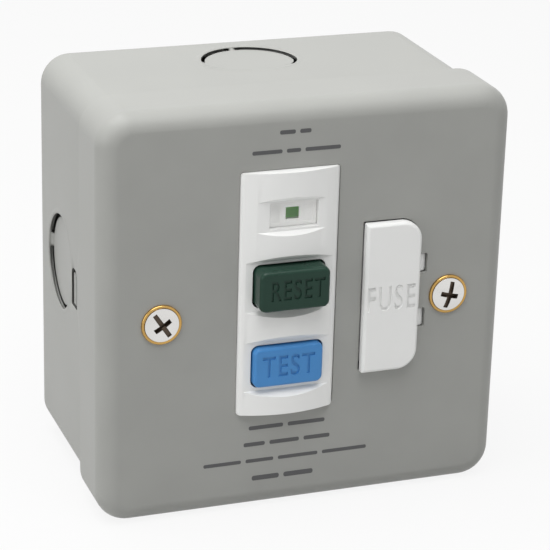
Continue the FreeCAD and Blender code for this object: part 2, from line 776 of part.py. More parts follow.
def indicator_lens():
    """Clear window with a rim that bears on the back of the module front."""
    body = new_body("indicator_lens")
    rim = new_sketch(body, "lens_rim_outline", LENS_RIM_REAR)
    centred(rim, "(lens_width + 2 * lens_rim)", "(lens_height + 2 * lens_rim)", "lens_x", "lens_z")
    pad(body, "lens_rim_pad", rim, "lens_rim_sheet")
    pane = new_sketch(body, "lens_pane", LENS_RIM_REAR)
    centred(pane, "lens_width", "lens_height", "lens_x", "lens_z")
    pad(body, "lens_pane_pad", pane, f"lens_pad_floor - lens_gap - {LENS_RIM_REAR}")
    return body


def indicator_mask():
    """White blind behind the lens with the aperture that the flag shows through."""
    body = new_body("indicator_mask")
    sheet = new_sketch(body, "mask_outline", MASK_REAR)
    centred(sheet, "(lens_width + 2 * lens_rim)", "(lens_height + 2 * lens_rim)", "lens_x", "lens_z")
    pad(body, "mask_pad", sheet, "mask_sheet")
    aperture = new_sketch(body, "mask_aperture", LENS_RIM_REAR)
    centred(aperture, "flag_aperture_width", "flag_aperture_height", "lens_x", "lens_z")
    pocket(body, "mask_aperture_cut", aperture, "2 * mask_sheet")
    return body


def indicator_flag():
    """Two-coloured slide: its lower half shows at rest, its upper half once it has dropped."""
    low = "lens_z - flag_travel / 2"
    return block("indicator_flag", ("lens_x - flag_width / 2", "lens_x + flag_width / 2"),
                 (f"{MASK_REAR} - rail_gap - flag_sheet", f"{MASK_REAR} - rail_gap"),
                 (low, f"{low} + 2 * flag_travel"))


# Push buttons

def push_button(label, name):
    """Cap with rounded corners, the rim that keeps it behind the front, and its stem."""
    body = new_body(label)
    rim = new_sketch(body, f"{label}_rim_outline", BUTTON_RIM_REAR)
    centred(rim, "(button_width + 2 * button_rim)", "(button_height + 2 * button_rim)",
            "module_x", f"button_z_{name}")
    cap = new_sketch(body, f"{label}_cap_outline", BUTTON_RIM_REAR)
    centred(cap, "button_width", "button_height", "module_x", f"button_z_{name}")
    block_up = pad(body, f"{label}_cap", cap, f"{name}_face_depth - {BUTTON_RIM_REAR}")
    corners = round_edges(body, f"{label}_corners", block_up, "button_corner", runs_forward)
    face = size(f"{name}_face_depth")
    round_edges(body, f"{label}_edge", corners, "button_edge",
                lambda edge: lies_at_depth(edge, face), kind="Chamfer")
    pad(body, f"{label}_rim", rim, "button_rim_sheet")
    stem = new_sketch(body, f"{label}_stem_outline", STEM_END)
    circle(stem, "stem_diameter", "module_x", f"button_z_{name}")
    pad(body, f"{label}_stem", stem, f"{BUTTON_RIM_REAR} - {STEM_END} + button_rim_sheet / 2")
    return body


def button_spring(label, name):
    """Flat-wire compression spring round a stem, which climbs by tangent half-turn arcs."""
    radius = size("spring_diameter") / 2
    wire = size("spring_wire") / 2
    seat = wire + size("spring_seat_gap")
    rear = size("frame_depth") + size("frame_sheet") + seat
    front = (size("reset_pad_floor") - size("module_wall") - size("button_stop")
             - size("button_rim_sheet") - seat)
    half_turns = round(2 * size("spring_turns"))
    rise = (front - rear) / half_turns
    arcs = []
    for i in range(half_turns):
        side = 1 if i % 2 == 0 else -1
        start = FreeCAD.Vector(side * radius, 0, i * rise)
        end = FreeCAD.Vector(-side * radius, 0, (i + 1) * rise)
        middle = FreeCAD.Vector(0, side * math.hypot(radius, rise / 2), (i + 0.5) * rise)
        arcs.append(Part.Arc(start, middle, end).toShape())
    corners = [(-1, -1), (1, -1), (1, 1), (-1, 1), (-1, -1)]
    section = Part.makePolygon([FreeCAD.Vector(radius + wire * across, 0, wire * along)
                                for across, along in corners])
    spring = DOC.addObject("Part::Feature", label)
    spring.Label = label
    spring.Shape = Part.Wire(arcs).makePipe(Part.Face(section))
    spring.Placement = FreeCAD.Placement(
        FreeCAD.Vector(size("module_x"), -rear, size(f"button_z_{name}")),
        FreeCAD.Rotation(FreeCAD.Vector(1, 0, 0), 90))
    return spring


# Hinged fuse carrier, its fuse and its pin

def carrier_cap():
    """D-shaped front of the fuse carrier: square on the left, rounded on the hinge side."""
    body = new_body("carrier_cap")
    outline = new_sketch(body, "cap_outline", CAP_UNDER)
    rectangle(outline, "cap_left", "cap_right", "cap_low", "cap_high")
    sheet = pad(body, "cap_sheet", outline, f"cap_face_depth - {CAP_UNDER}")
    right = size("cap_right")
    corners = round_edges(body, "cap_corners", sheet, "cap_corner",
                          lambda edge: runs_forward(edge) and edge.BoundBox.XMin > right - 0.01)
    face = size("cap_face_depth")
    round_edges(body, "cap_edge", corners, "cap_bevel",
                lambda edge: lies_at_depth(edge, face), kind="Chamfer")
    return body


def fuse_carrier():
    """Hinged drawer: cap, arc-faced cradle for the fuse and two knuckles behind the plate."""
    slab_rear = "(fuse_depth + fuse_diameter / 2 + clip_gap)"
    inner_low = f"({FUSE_LOW} - fuse_end_gap)"
    inner_high = f"({FUSE_HIGH} + fuse_end_gap)"
    low = f"({inner_low} - carrier_wall)"
    high = f"({inner_high} + carrier_wall)"
    sweep = upright_rod("carrier_sweep", f"(2 * {CARRIER_RADIUS})", "hinge_x", "hinge_depth",
                        low, high)
    body_box = block("carrier_body", ("cap_left - 1", "hinge_x - knuckle_diameter - cap_gap / 2"),
                     ("hinge_depth + cap_gap - carrier_depth", f"{CAP_UNDER} + cap_bevel"),
                     (low, high))
    inside = upright_rod("carrier_inside", f"(2 * ({CARRIER_RADIUS} - carrier_wall / 2))",
                         "hinge_x", "hinge_depth", inner_low, inner_high)
    well = block("carrier_well", ("cap_left - 2", "cap_right"),
                 ("hinge_depth - 2 * carrier_depth", slab_rear), (inner_low, inner_high))
    hollow = common("carrier_hollow", inside, well)
    cradle = cut("carrier_cradle", common("carrier_blank", sweep, body_box), hollow)
    pieces = [carrier_cap(), cradle]
    bores = []
    for name, rise in (("upper", "knuckle_high"), ("lower", "knuckle_low")):
        half = "(notch_height / 2 - knuckle_side_gap)"
        span = (f"{rise} - {half}", f"{rise} + {half}")
        pieces.append(block(f"{name}_arm", ("arm_right - arm_width", "arm_right"),
                            ("hinge_depth - knuckle_diameter / 2", f"{CAP_UNDER} + cap_bevel"),
                            span))
        pieces.append(upright_rod(f"{name}_knuckle", "knuckle_diameter", "hinge_x",
                                  "hinge_depth", *span))
    bore = upright_rod("knuckle_bore", "hinge_pin_diameter + 2 * hinge_clearance", "hinge_x",
                       "hinge_depth", "cap_low", "cap_high")
    return cut("fuse_carrier", fused("carrier_solid", *pieces), bore)


def hinge_pin():
    reach = "(notch_height / 2 + 2 * knuckle_side_gap + pin_tail)"
    return upright_rod("fuse_hinge_pin", "hinge_pin_diameter", "hinge_x", "hinge_depth",
                       f"knuckle_low - {reach}", f"knuckle_high + {reach}")


def fuse_parts():
    """Cartridge fuse: a ceramic tube in two metal caps."""
    core = "(fuse_diameter - 2 * fuse_tube_step)"
    tube = upright_rod("fuse_tube", core, "fuse_x", "fuse_depth",
                       f"{FUSE_LOW} + fuse_tube_step", f"{FUSE_HIGH} - fuse_tube_step")
    caps = []
    for name, low, high, shift in (
            ("lower", FUSE_LOW, f"{FUSE_LOW} + fuse_cap_length", "fuse_tube_step"),
            ("upper", f"{FUSE_HIGH} - fuse_cap_length", FUSE_HIGH, "-fuse_tube_step")):
        cup = upright_rod(f"fuse_cap_{name}_cup", "fuse_diameter", "fuse_x", "fuse_depth",
                          low, high)
        hole = upright_rod(f"fuse_cap_{name}_hole", core, "fuse_x", "fuse_depth",
                           f"{low} + {shift}", f"{high} + {shift}")
        caps.append(cut(f"fuse_cap_{name}", cup, hole))
    return [tube] + caps


def fuse_clip(label, low):
    """Curved contact that the fuse cap turns against, on a post from the bay floor."""
    high = f"({low} + clip_length)"
    inner = "(fuse_diameter + 2 * clip_gap)"
    outer = f"({inner} + 2 * clip_sheet)"
    ring = cut(f"{label}_ring", upright_rod(f"{label}_outer", outer, "fuse_x", "fuse_depth", low, high),
               upright_rod(f"{label}_inner", inner, "fuse_x", "fuse_depth", f"{low} - 1",
                           f"{high} + 1"))
    half = f"fuse_diameter * {CLIP_ARC_SHARE}"
    keep = block(f"{label}_keep", (f"fuse_x - {half} / 2", f"fuse_x + {half}"),
                 (f"fuse_depth - {outer}", "fuse_depth"), (low, high))
    cup = common(f"{label}_cup", ring, keep)
    post = block(f"{label}_post", ("fuse_x - clip_sheet", "fuse_x + clip_sheet"),
                 ("bay_floor_depth", f"fuse_depth - {inner} / 2 - clip_sheet / 4"), (low, high))
    hole = upright_rod(f"{label}_post_hole", inner, "fuse_x", "fuse_depth", f"{low} - 1",
                       f"{high} + 1")
    return fused(label, cup, cut(f"{label}_leg", post, hole))


# Moulded housing and the frame inside it

def housing():
    """Deep moulding with the mechanism chamber, the fuse bay, terminal recesses and ears."""
    body = new_body("housing_block")
    outline = new_sketch(body, "housing_outline", "housing_rear_depth")
    rectangle(outline, f"-{HOUSING_SIDE}", HOUSING_SIDE, "housing_low", "housing_high")
    walls = pad(body, "housing_walls", outline, f"{PLATE_INNER} - housing_rear_depth")
    round_edges(body, "housing_corners", walls, "housing_corner", runs_forward)
    ears = []
    ear_holes = []
    for name, side in (("left", "-"), ("right", "")):
        outer = f"({SCREW_X} + ear_width / 2)"
        span = (f"-{outer}", f"-{HOUSING_SIDE} + housing_wall / 2")
        if name == "right":
            span = (f"{HOUSING_SIDE} - housing_wall / 2", outer)
        ears.append(block(f"{name}_ear", span, ("lug_face_depth", PLATE_INNER),
                          ("-lug_width / 2 + 0.5", "lug_width / 2 - 0.5")))
        ear_holes.append(forward_rod(f"{name}_ear_hole", "screw_diameter + 2 * ear_hole_gap",
                                     f"{side}{SCREW_X}", "0", "lug_face_depth - 1",
                                     "unit_depth"))
    chamber = block("chamber", (CHAMBER_LEFT, CHAMBER_RIGHT), ("deck_depth", "unit_depth"),
                    (CHAMBER_LOW, CHAMBER_HIGH))
    bay_right = "(hinge_x - knuckle_diameter / 2 - cap_gap)"
    bay_span = ("cap_low - bay_margin", "cap_high + bay_margin")
    rail_rear = "(hinge_depth - knuckle_diameter / 2 - hinge_rail)"
    bay = block("fuse_bay", ("bay_left", bay_right), ("bay_floor_depth", "unit_depth"), bay_span)
    deep_bay = block("deep_fuse_bay", ("bay_left", f"{HOUSING_SIDE} - housing_wall"),
                     ("bay_floor_depth", rail_rear), bay_span)
    hollows = [chamber, bay, deep_bay] + ear_holes
    for name, rise in (("upper", "knuckle_high"), ("lower", "knuckle_low")):
        half = "(notch_height / 2)"
        hollows.append(block(f"{name}_knuckle_pocket",
                             (f"{bay_right} - 1", "hinge_x + knuckle_diameter / 2 + cap_gap"),
                             (f"{rail_rear} - 1", "unit_depth"),
                             (f"{rise} - {half}", f"{rise} + {half}")))
    hollows.append(upright_rod("pin_bore", "hinge_pin_diameter + 2 * hinge_clearance", "hinge_x",
                               "hinge_depth", "cap_low", "cap_high"))
    recess = "(terminal_side / 2 + terminal_recess_gap)"
    for name, x, z in terminal_places():
        front = "(housing_rear_depth + terminal_sink + terminal_depth)"
        hollows.append(block(f"{name}_recess", (f"{x} - {recess}", f"{x} + {recess}"),
                             ("housing_rear_depth - 1", front), (f"{z} - {recess}", f"{z} + {recess}")))
        entry = (z, "housing_high + 1") if "load" in name else ("housing_low - 1", z)
        wide = "(terminal_bore / 2 + terminal_recess_gap)"
        hollows.append(block(f"{name}_entry", (f"{x} - {wide}", f"{x} + {wide}"),
                             ("housing_rear_depth - 1", f"{TERMINAL_BORE} + {wide}"), entry))
    stilts = []
    for name, x0, x1 in (("left", CHAMBER_LEFT, f"{CHAMBER_LEFT} + rail_sheet"),
                         ("right", f"{CHAMBER_RIGHT} - rail_sheet", CHAMBER_RIGHT)):
        for level, z0, z1 in (("low", f"{CHAMBER_LOW} + frame_seat_inset",
                               f"{CHAMBER_LOW} + frame_seat_inset + frame_seat_length"),
                              ("high", f"{CHAMBER_HIGH} - frame_seat_inset - frame_seat_length",
                               f"{CHAMBER_HIGH} - frame_seat_inset")):
            stilts.append(block(f"{name}_{level}_seat", (x0, x1), ("deck_depth - 1", "frame_depth"),
                                (z0, z1)))
    for name, x, z in board_corners():
        half = "board_post_side / 2"
        stilts.append(block(f"{name}_board_post", (f"{x} - {half}", f"{x} + {half}"),
                            ("deck_depth - joint_overlap", BOARD_REAR),
                            (f"{z} - {half}", f"{z} + {half}")))
    shell = cut("housing_shell", fused("housing_solid", body, *ears),
                fused("housing_hollows", *hollows))
    return fused("housing", shell, *stilts)


def board_corners():
    left = f"({CHAMBER_LEFT} + board_margin + board_post_inset)"
    right = f"({CHAMBER_RIGHT} - board_margin - board_post_inset)"
    low = f"({CHAMBER_LOW} + board_margin + board_post_inset)"
    high = f"({CHAMBER_HIGH} - board_margin - board_post_inset)"
    return [("low_left", left, low), ("low_right", right, low),
            ("high_left", left, high), ("high_right", right, high)]


def circuit_board():
    return block("circuit_board",
                 (f"{CHAMBER_LEFT} + board_margin", f"{CHAMBER_RIGHT} - board_margin"),
                 (BOARD_REAR, BOARD_FRONT),
                 (f"{CHAMBER_LOW} + board_margin", f"{CHAMBER_HIGH} - board_margin"))


def mechanism_frame():
    """Plate across the chamber with stem holes, pillars to the front and rails for the carriage."""
    gap = "rail_gap / 2"
    plate = block("frame_plate", (f"{CHAMBER_LEFT} + {gap}", f"{CHAMBER_RIGHT} - {gap}"),
                  ("frame_depth", FRAME_FRONT), (f"{CHAMBER_LOW} + {gap}", f"{CHAMBER_HIGH} - {gap}"))
    holes = [forward_rod(f"{name}_stem_hole", "stem_diameter + 2 * stem_gap", "module_x",
                         f"button_z_{name}", "frame_depth - 1", f"{FRAME_FRONT} + 1")
             for name in ("reset", "test")]
    pieces = [cut("frame_plate_bored", plate, fused("stem_holes", *holes))]
    half_width = "(module_width / 2 + flange_margin)"
    half_height = "(module_height / 2 + flange_margin)"
    for level, z0, z1 in (
            ("low", f"module_z - {half_height}", f"module_z - {half_height} + frame_pillar"),
            ("high", f"module_z + {half_height} - frame_pillar", f"module_z + {half_height}")):
        for name, x0, x1 in (
                ("left", f"module_x - {half_width}", f"module_x - {half_width} + frame_pillar"),
                ("right", f"module_x + {half_width} - frame_pillar", f"module_x + {half_width}")):
            pieces.append(block(f"{name}_{level}_pillar", (x0, x1),
                                (f"{FRAME_FRONT} - frame_sheet / 2", FLANGE_REAR), (z0, z1)))
    near = "(carriage_width / 2 + rail_gap)"
    tall = ("button_z_reset - carriage_height / 2", "button_z_reset + carriage_height / 2")
    for name, x0, x1 in (("left", f"module_x - {near} - rail_sheet", f"module_x - {near}"),
                         ("right", f"module_x + {near}", f"module_x + {near} + rail_sheet")):
        pieces.append(block(f"{name}_rail", (x0, x1),
                            (f"{BOARD_FRONT} + rail_gap", "frame_depth + frame_sheet / 2"), tall))
    return fused("mechanism_frame", *pieces)


# Contacts, carriage, solenoid and sensing parts

def contact_carriage():
    tall = ("button_z_reset - carriage_height / 2", "button_z_reset + carriage_height / 2")
    return block("contact_carriage",
                 ("module_x - carriage_width / 2", "module_x + carriage_width / 2"),
                 ("carriage_rear_depth", CARRIAGE_FRONT), tall)


def pole_places():
    return [("left", "(module_x - bridge_offset)"), ("right", "(module_x + bridge_offset)")]


def moving_contacts():
    """One bridge for each pole, laid across the carriage."""
    reach = "(carriage_height / 2 + bridge_overhang)"
    bridges = [block(f"{name}_bridge", (f"{x} - bridge_width / 2", f"{x} + bridge_width / 2"),
                     (CARRIAGE_FRONT, BRIDGE_FRONT),
                     (f"button_z_reset - {reach}", f"button_z_reset + {reach}"))
               for name, x in pole_places()]
    return group("moving_contacts", *bridges)


def fixed_contacts():
    """Four posts under the frame that the bridges close against."""
    near = "(carriage_height / 2 + bridge_overhang - anvil_depth)"
    far = "(carriage_height / 2 + bridge_overhang)"
    posts = []
    for name, x in pole_places():
        for level, z0, z1 in (("low", f"button_z_reset - {far}", f"button_z_reset - {near}"),
                              ("high", f"button_z_reset + {near}", f"button_z_reset + {far}")):
            posts.append(block(f"{name}_{level}_contact",
                               (f"{x} - bridge_width / 2", f"{x} + bridge_width / 2"),
                               (ANVIL_REAR, "frame_depth"), (z0, z1)))
    return group("fixed_contacts", *posts)


def solenoid():
    """Yoke bent from strip, a bobbin with its winding, and the plunger that trips the latch."""
    low = "(coil_z - coil_length / 2)"
    high = "(coil_z + coil_length / 2)"
    strip = ("coil_x - yoke_width / 2", "coil_x + yoke_width / 2")
    top = f"({COIL_DEPTH} + coil_diameter / 2)"
    back = block("yoke_back", strip, (BOARD_FRONT, f"{BOARD_FRONT} + yoke_sheet"),
                 (f"{low} - yoke_sheet", f"{high} + yoke_sheet"))
    legs = [block("yoke_low_leg", strip, (BOARD_FRONT, top), (f"{low} - yoke_sheet", low)),
            block("yoke_high_leg", strip, (BOARD_FRONT, top), (high, f"{high} + yoke_sheet"))]
    bore = "(plunger_diameter + 2 * plunger_gap)"
    guide = upright_rod("yoke_bore", bore, "coil_x", COIL_DEPTH, f"{low} - 2 * yoke_sheet", low)
    yoke = cut("solenoid_yoke", fused("yoke_strip", back, *legs), guide)
    core = f"({bore} + 2 * coil_cheek)"
    tube = upright_rod("bobbin_tube", core, "coil_x", COIL_DEPTH, low, high)
    cheek_x = ("coil_x - coil_diameter / 2", "coil_x + coil_diameter / 2")
    cheek_y = (f"{COIL_DEPTH} - coil_diameter / 2", f"{COIL_DEPTH} + coil_diameter / 2")
    cheeks = [block("bobbin_low_cheek", cheek_x, cheek_y, (low, f"{low} + coil_cheek")),
              block("bobbin_high_cheek", cheek_x, cheek_y, (f"{high} - coil_cheek", high))]
    bobbin = cut("solenoid_bobbin", fused("bobbin_solid", tube, *cheeks),
                 upright_rod("bobbin_bore", bore, "coil_x", COIL_DEPTH, f"{low} - 1",
                             f"{high} + 1"))
    turns = upright_rod("winding_solid", "coil_diameter - coil_cheek", "coil_x", COIL_DEPTH,
                        f"{low} + coil_cheek", f"{high} - coil_cheek")
    winding = cut("solenoid_winding", turns,
                  upright_rod("winding_bore", core, "coil_x", COIL_DEPTH, low, high))
    plunger = upright_rod("trip_plunger", "plunger_diameter", "coil_x", COIL_DEPTH,
                          f"{low} - yoke_sheet - plunger_nose", f"{high} - plunger_nose")
    return [yoke, bobbin, winding, plunger]


def sensing_core():
    front = f"({BOARD_FRONT} + core_height)"
    ring = forward_rod("core_ring", "core_diameter", "core_x", "core_z", BOARD_FRONT, front)
    hole = forward_rod("core_bore", "core_hole", "core_x", "core_z", f"{BOARD_FRONT} - 1",
                       f"{front} + 1")
    return cut("sensing_core", ring, hole)


def test_leaf():
    """Contact leaf on the board, bent over below the test stem."""
    front = f"({STEM_END} - test_travel - stem_gap)"
    tall = ("button_z_test - leaf_width / 2", "button_z_test + leaf_width / 2")
    right = "(module_x + leaf_length)"
    leg = block("leaf_leg", (f"{right} - leaf_sheet", right), (BOARD_FRONT, front), tall)
    tip = block("leaf_tip", ("module_x - stem_diameter / 2", right),
                (f"{front} - leaf_sheet", front), tall)
    return fused("test_contact", leg, tip)


def test_resistor():
    return upright_rod("test_resistor", "resistor_diameter", "resistor_x",
                       f"{BOARD_FRONT} + resistor_diameter / 2",
                       "resistor_z - resistor_length / 2", "resistor_z + resistor_length / 2")


# Wiring terminals

def terminal_places():
    """Supply terminals along the bottom of the housing and load terminals along its top."""
    places = []
    for row, z in (("supply", "(housing_low + terminal_row_inset)"),
                   ("load", "(housing_high - terminal_row_inset)")):
        for name, x in (("neutral", "-terminal_pitch"), ("earth", "0"), ("live", "terminal_pitch")):
            places.append((f"{row}_{name}_terminal", f"({x})", z))
    return places


def terminal(label, x, z):
    """Brass cage with a square way for the wire and a screw hole that opens to the rear."""
    front = "(housing_rear_depth + terminal_sink + terminal_depth)"
    half = "terminal_side / 2"
    solid = block(f"{label}_solid", (f"{x} - {half}", f"{x} + {half}"),
                  ("housing_rear_depth + terminal_sink", front), (f"{z} - {half}", f"{z} + {half}"))
    bore = block(f"{label}_way", (f"{x} - terminal_bore / 2", f"{x} + terminal_bore / 2"),
                 (f"{TERMINAL_BORE} - terminal_bore / 2", f"{TERMINAL_BORE} + terminal_bore / 2"),
                 (f"{z} - terminal_side", f"{z} + terminal_side"))
    hole = forward_rod(f"{label}_screw_hole", "terminal_screw_diameter + 2 * thread_clearance",
                       x, z, "0", TERMINAL_BORE)
    return cut(label, solid, fused(f"{label}_holes", bore, hole))


def terminal_screws():
    """Six grub screws, each nearly through to the wire way of its terminal."""
    rear = "(housing_rear_depth + terminal_sink)"
    return group("terminal_screws", *[
        forward_rod(f"{name}_screw", "terminal_screw_diameter", x, z,
                    f"{rear} - screw_proud", f"{TERMINAL_BORE} - terminal_bore / 2 + screw_nip")
        for name, x, z in terminal_places()])


def box_earth():
    """Earth block on the floor of the box and the grub screw in its front."""
    top = "(box_wall + box_earth_height)"
    half = "box_earth_height / 2"
    solid = block("box_earth_solid", (f"box_earth_x - {half}", f"box_earth_x + {half}"),
                  ("box_wall", top),
                  ("box_earth_z - box_earth_length / 2", "box_earth_z + box_earth_length / 2"))
    way_top = "(box_wall + box_earth_way + box_earth_floor)"
    way = block("box_earth_way_hole",
                ("box_earth_x - box_earth_way / 2", "box_earth_x + box_earth_way / 2"),
                ("box_wall + box_earth_floor", way_top),
                ("box_earth_z - box_earth_length", "box_earth_z + box_earth_length"))
    hole = forward_rod("box_earth_screw_hole", "terminal_screw_diameter + 2 * thread_clearance",
                       "box_earth_x", "box_earth_z", f"{way_top} - screw_nip", f"{top} + screw_nip")
    screw = forward_rod("box_earth_screw", "terminal_screw_diameter", "box_earth_x",
                        "box_earth_z", f"{way_top} - screw_nip", f"{top} + screw_proud")
    return [cut("box_earth_terminal", solid, fused("box_earth_holes", way, hole)), screw]


def build():
    """Every node of the unit, in the order in which it is put together."""
    fill_sheet()
    nodes = [back_box(), lug("fixed_lug", "", False), lug("adjustable_lug", "-", True)]
    nodes += box_earth()
    nodes += [housing()]
    nodes += [terminal(name, x, z) for name, x, z in terminal_places()]
    nodes += [terminal_screws(), circuit_board(), sensing_core(), test_resistor(), test_leaf()]
    nodes += solenoid()
    nodes += [contact_carriage(), moving_contacts(), fixed_contacts(), mechanism_frame()]
    nodes += [push_button("reset_button", "reset"), push_button("test_button", "test")]
    nodes += [button_spring("reset_spring", "reset"), button_spring("test_spring", "test")]
    nodes += [indicator_flag(), indicator_mask(), indicator_lens(), module_front()]
    nodes += [fuse_clip("fuse_clip_lower", f"({FUSE_LOW} + fuse_tube_step)"),
              fuse_clip("fuse_clip_upper", f"({FUSE_HIGH} - fuse_tube_step - clip_length)")]
    nodes += fuse_parts()
    nodes += [fuse_carrier(), hinge_pin(), front_plate()]
    for name, side, turn in (("left", "-", 35), ("right", "", -12)):
        nodes += [screw_cup(f"screw_cup_{name}", side),
                  plate_screw(f"plate_screw_{name}", side, turn)]
    DOC.recompute()
    return nodes


def check(nodes):
    """Stops before anything is written if a feature failed or a solid is bad."""
    for thing in DOC.Objects:
        if "Invalid" in thing.State or "Error" in thing.State:
            raise RuntimeError(f"{thing.Name} failed: {thing.State}")
    for node in nodes:
        if node.Shape.isNull() or not node.Shape.isValid():
            raise RuntimeError(f"{node.Label} has no valid shape")


def write(nodes):
    os.makedirs("parts", exist_ok=True)
    for node in nodes:
        node.Shape.exportStep(os.path.join("parts", f"{node.Label}.step"))


NODES = build()
check(NODES)
write(NODES)
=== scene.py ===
"""Dressed scene of a metal-clad fused spur unit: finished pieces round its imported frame."""

import json
import math

import bmesh
import bpy
from mathutils import Matrix, Vector


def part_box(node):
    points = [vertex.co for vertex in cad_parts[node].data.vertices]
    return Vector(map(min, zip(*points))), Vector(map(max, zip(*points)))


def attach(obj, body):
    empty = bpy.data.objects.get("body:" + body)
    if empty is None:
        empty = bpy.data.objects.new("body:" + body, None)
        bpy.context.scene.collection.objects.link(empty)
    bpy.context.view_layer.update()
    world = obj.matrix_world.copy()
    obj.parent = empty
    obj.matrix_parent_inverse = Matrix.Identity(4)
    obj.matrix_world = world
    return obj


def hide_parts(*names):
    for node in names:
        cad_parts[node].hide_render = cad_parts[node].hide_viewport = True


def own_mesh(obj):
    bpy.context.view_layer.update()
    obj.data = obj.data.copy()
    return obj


MM = 0.001

# The camera, worked out from the plate's corners, in millimetres
CAMERA_PLACE = (-151.47, -443.36, 169.98)
CAMERA_AHEAD = (0.3215, 0.8755, -0.3608)
CAMERA_RIGHT = (0.9419, -0.335, 0.0263)
CAMERA_LENS = 150.47
SENSOR_WIDTH = 36.0

# Where the lamps shine, in metres, each lamp's place, size and level of light, and how white the
# paper and the surroundings are
LAMP_AIM = (0.0, -0.03, 0.0)
TOP_LAMP = ((-0.12, -0.09, 0.6), (0.8, 0.5), 1.5)
LEFT_LAMP = ((-0.68, -0.2, 0.2), (0.4, 0.5), 0.22)
PAPER_WHITE = 0.88
SKY_LEVELS = (0.18, 0.5)

# How near points count as one place, and how far a tool reaches past what it cuts, in millimetres
SAME = 0.0001
ON_CORNER = 0.03
ON_LINE = 0.01
MERGED = 0.0005
MERGED_CUT = 0.001
MERGED_NODE = 0.002
TOOL_REACH = 1.0

# The plate and its openings, in millimetres
PLATE_WALL = 1.0
PLATE_CORNER = 6.5
PLATE_ROLL = 4.0
PLATE_EDGE = 0.1
MODULE_WIDTH = 20.5
MODULE_HEIGHT = 50.7
MODULE_GAP = 0.08
MODULE_CORNER = 0.8
MODULE_EDGE = 0.12
CAP_CORNER = 4.2
CAP_GAP = 0.1
KNUCKLE_REACH = 2.1
NOTCH_HEIGHT = 4.2
NOTCH_MIDDLES = (7.15, -4.6)
NOTCH_CORNER = 0.5
NOTCH_SHORT = 0.05
CUP_SEAT = 7.5

# The printed bars: foot, height of the line and the ends of each bar, in millimetres; a bar's half
# height is a share of its line's, and its corners' radius a share of that
PRINT_ROWS = (
    (35.7, 2.6, ((-6.8, -3.6), (-2.7, -0.4))),
    (32.0, 2.45, ((-12.3, -6.2), (-5.3, -2.4), (-1.5, 5.8))),
    (-25.9, 2.65, ((-11.7, -4.4), (-3.4, 4.5))),
    (-29.5, 2.7, ((-12.7, -8.2), (-7.2, -0.9), (0.1, 5.7))),
    (-33.0, 2.4, ((-21.1, -13.2), (-12.2, -6.3), (-5.3, 3.2), (4.2, 13.8))),
    (-37.4, 3.3, ((-10.8, -5.0), (-4.0, 2.3))),
)
PRINT_SHARE = 0.16
PRINT_ROUND = 0.8
PRINT_LIFT = 0.005
PRINT_INK = 0.025

# The back box, its knockouts and the lug's slot, in millimetres
BOX_CORNER = 6.0
BOX_ROLL = 1.1
KNOCKOUT_WIDTH = 20.0
KNOCKOUT_SLIT = 0.7
KNOCKOUT_DEPTH = 16.9
KNOCKOUT_RISE = 2.0
KNOCKOUT_FRONT = 0.7
KNOCKOUT_RIM = 0.24
TOP_KNOCKOUT_ASIDE = -1.1
TOP_KNOCKOUT_DEPTH = 15.4
WALL_HOLE = 4.8
WALL_HOLE_CENTRES = 50.8
LUG_SLOT = (-28.8, -24.9, -4.1, 4.1)
LUG_SLOT_CORNERS = (0.3, 1.45)

# A knockout's slits in degrees, how deep its disc is pressed and its edge turned in
SIDE_KNOCKOUT = (((-112, -1), (18, 70)), 0.7, 0.28)
UPPER_KNOCKOUT = (((-114, -1), (8, 80)), 0.22, 0.06)
REAR_KNOCKOUT = (((-85, -8), (8, 85)), 0.3, 0.1)

# The buttons, the sunk words and the fuse carrier, in millimetres; a cap's word has its letters,
# width, height and place aside of the middle
BUTTON_HEIGHT = 8.4
BUTTON_WIDTH = 14.5
BUTTON_CORNER = 1.4
BUTTON_EDGE = 0.7
STEM_WIDTH = 3.0
STEM_EDGE = 0.2
RIM_SHEET = 1.0
WORD_DEPTH = 0.28
WORD_LIFT = 0.2
LETTER_BOLDER = 0.012
LETTER_SPACING = 1.18
RESET_WORD = ("RESET", 11.1, 4.2, 0.55)
TEST_WORD = ("TEST", 11.0, 4.5, 0.0)
FUSE_WORD_SIZE = (10.2, 5.3)
FUSE_WORD_ASIDE = 17.1
FUSE_WORD_HEIGHT = 1.2
CARRIER_EDGE = 0.22
CRADLE_ROUND = 1.1
CRADLE_TALL = 3.0
CRADLE_BAND = (0.5, 2.5)
HINGE_COVER = 1.27
HINGE_ROUND = 1.25
HINGE_PLAY = 0.15
HINGE_EDGE = 0.3

# The screws and their cups, in millimetres; the recess's long arm is a share of its depth, and its
# floor a share of its mouth
CUP_LIP = 0.58
CUP_WALL = 0.35
CUP_EDGE = 0.12
SHANK = 1.75
SHANK_END = 0.3
RECESS_WIDTH = 1.1
RECESS_LONG = 6.7
RECESS_SHORT = 4.2
RECESS_DEPTH = 1.35
RECESS_SHALLOW = 0.62
RECESS_TAPER = 0.8

# The flag's window, mask and face, in millimetres; the panels are shares of the mask's width
WINDOW_RIM = 0.8
WINDOW_INSET = 1.0
WINDOW_WALL = 0.25
WINDOW_FACE = 0.9
WINDOW_EDGE = 0.2
MASK_BEHIND = 0.1
MASK_PLAY = 0.15
MASK_RIM = 0.1
MASK_SHEET = 0.35
MASK_PANELS = ((0.03, 0.22), (0.75, 0.97))
PANEL_EDGE = 0.35
PANEL_SINK = 0.12
FLAG_ROOM = (0.9, 1.3)
FLAG_ROOM_EDGE = 0.4
FLAG_SHEET = 0.2
FLAG_WIDER = 0.55
FLAG_LOWER = 0.6
FLAG_CORNER = 0.3

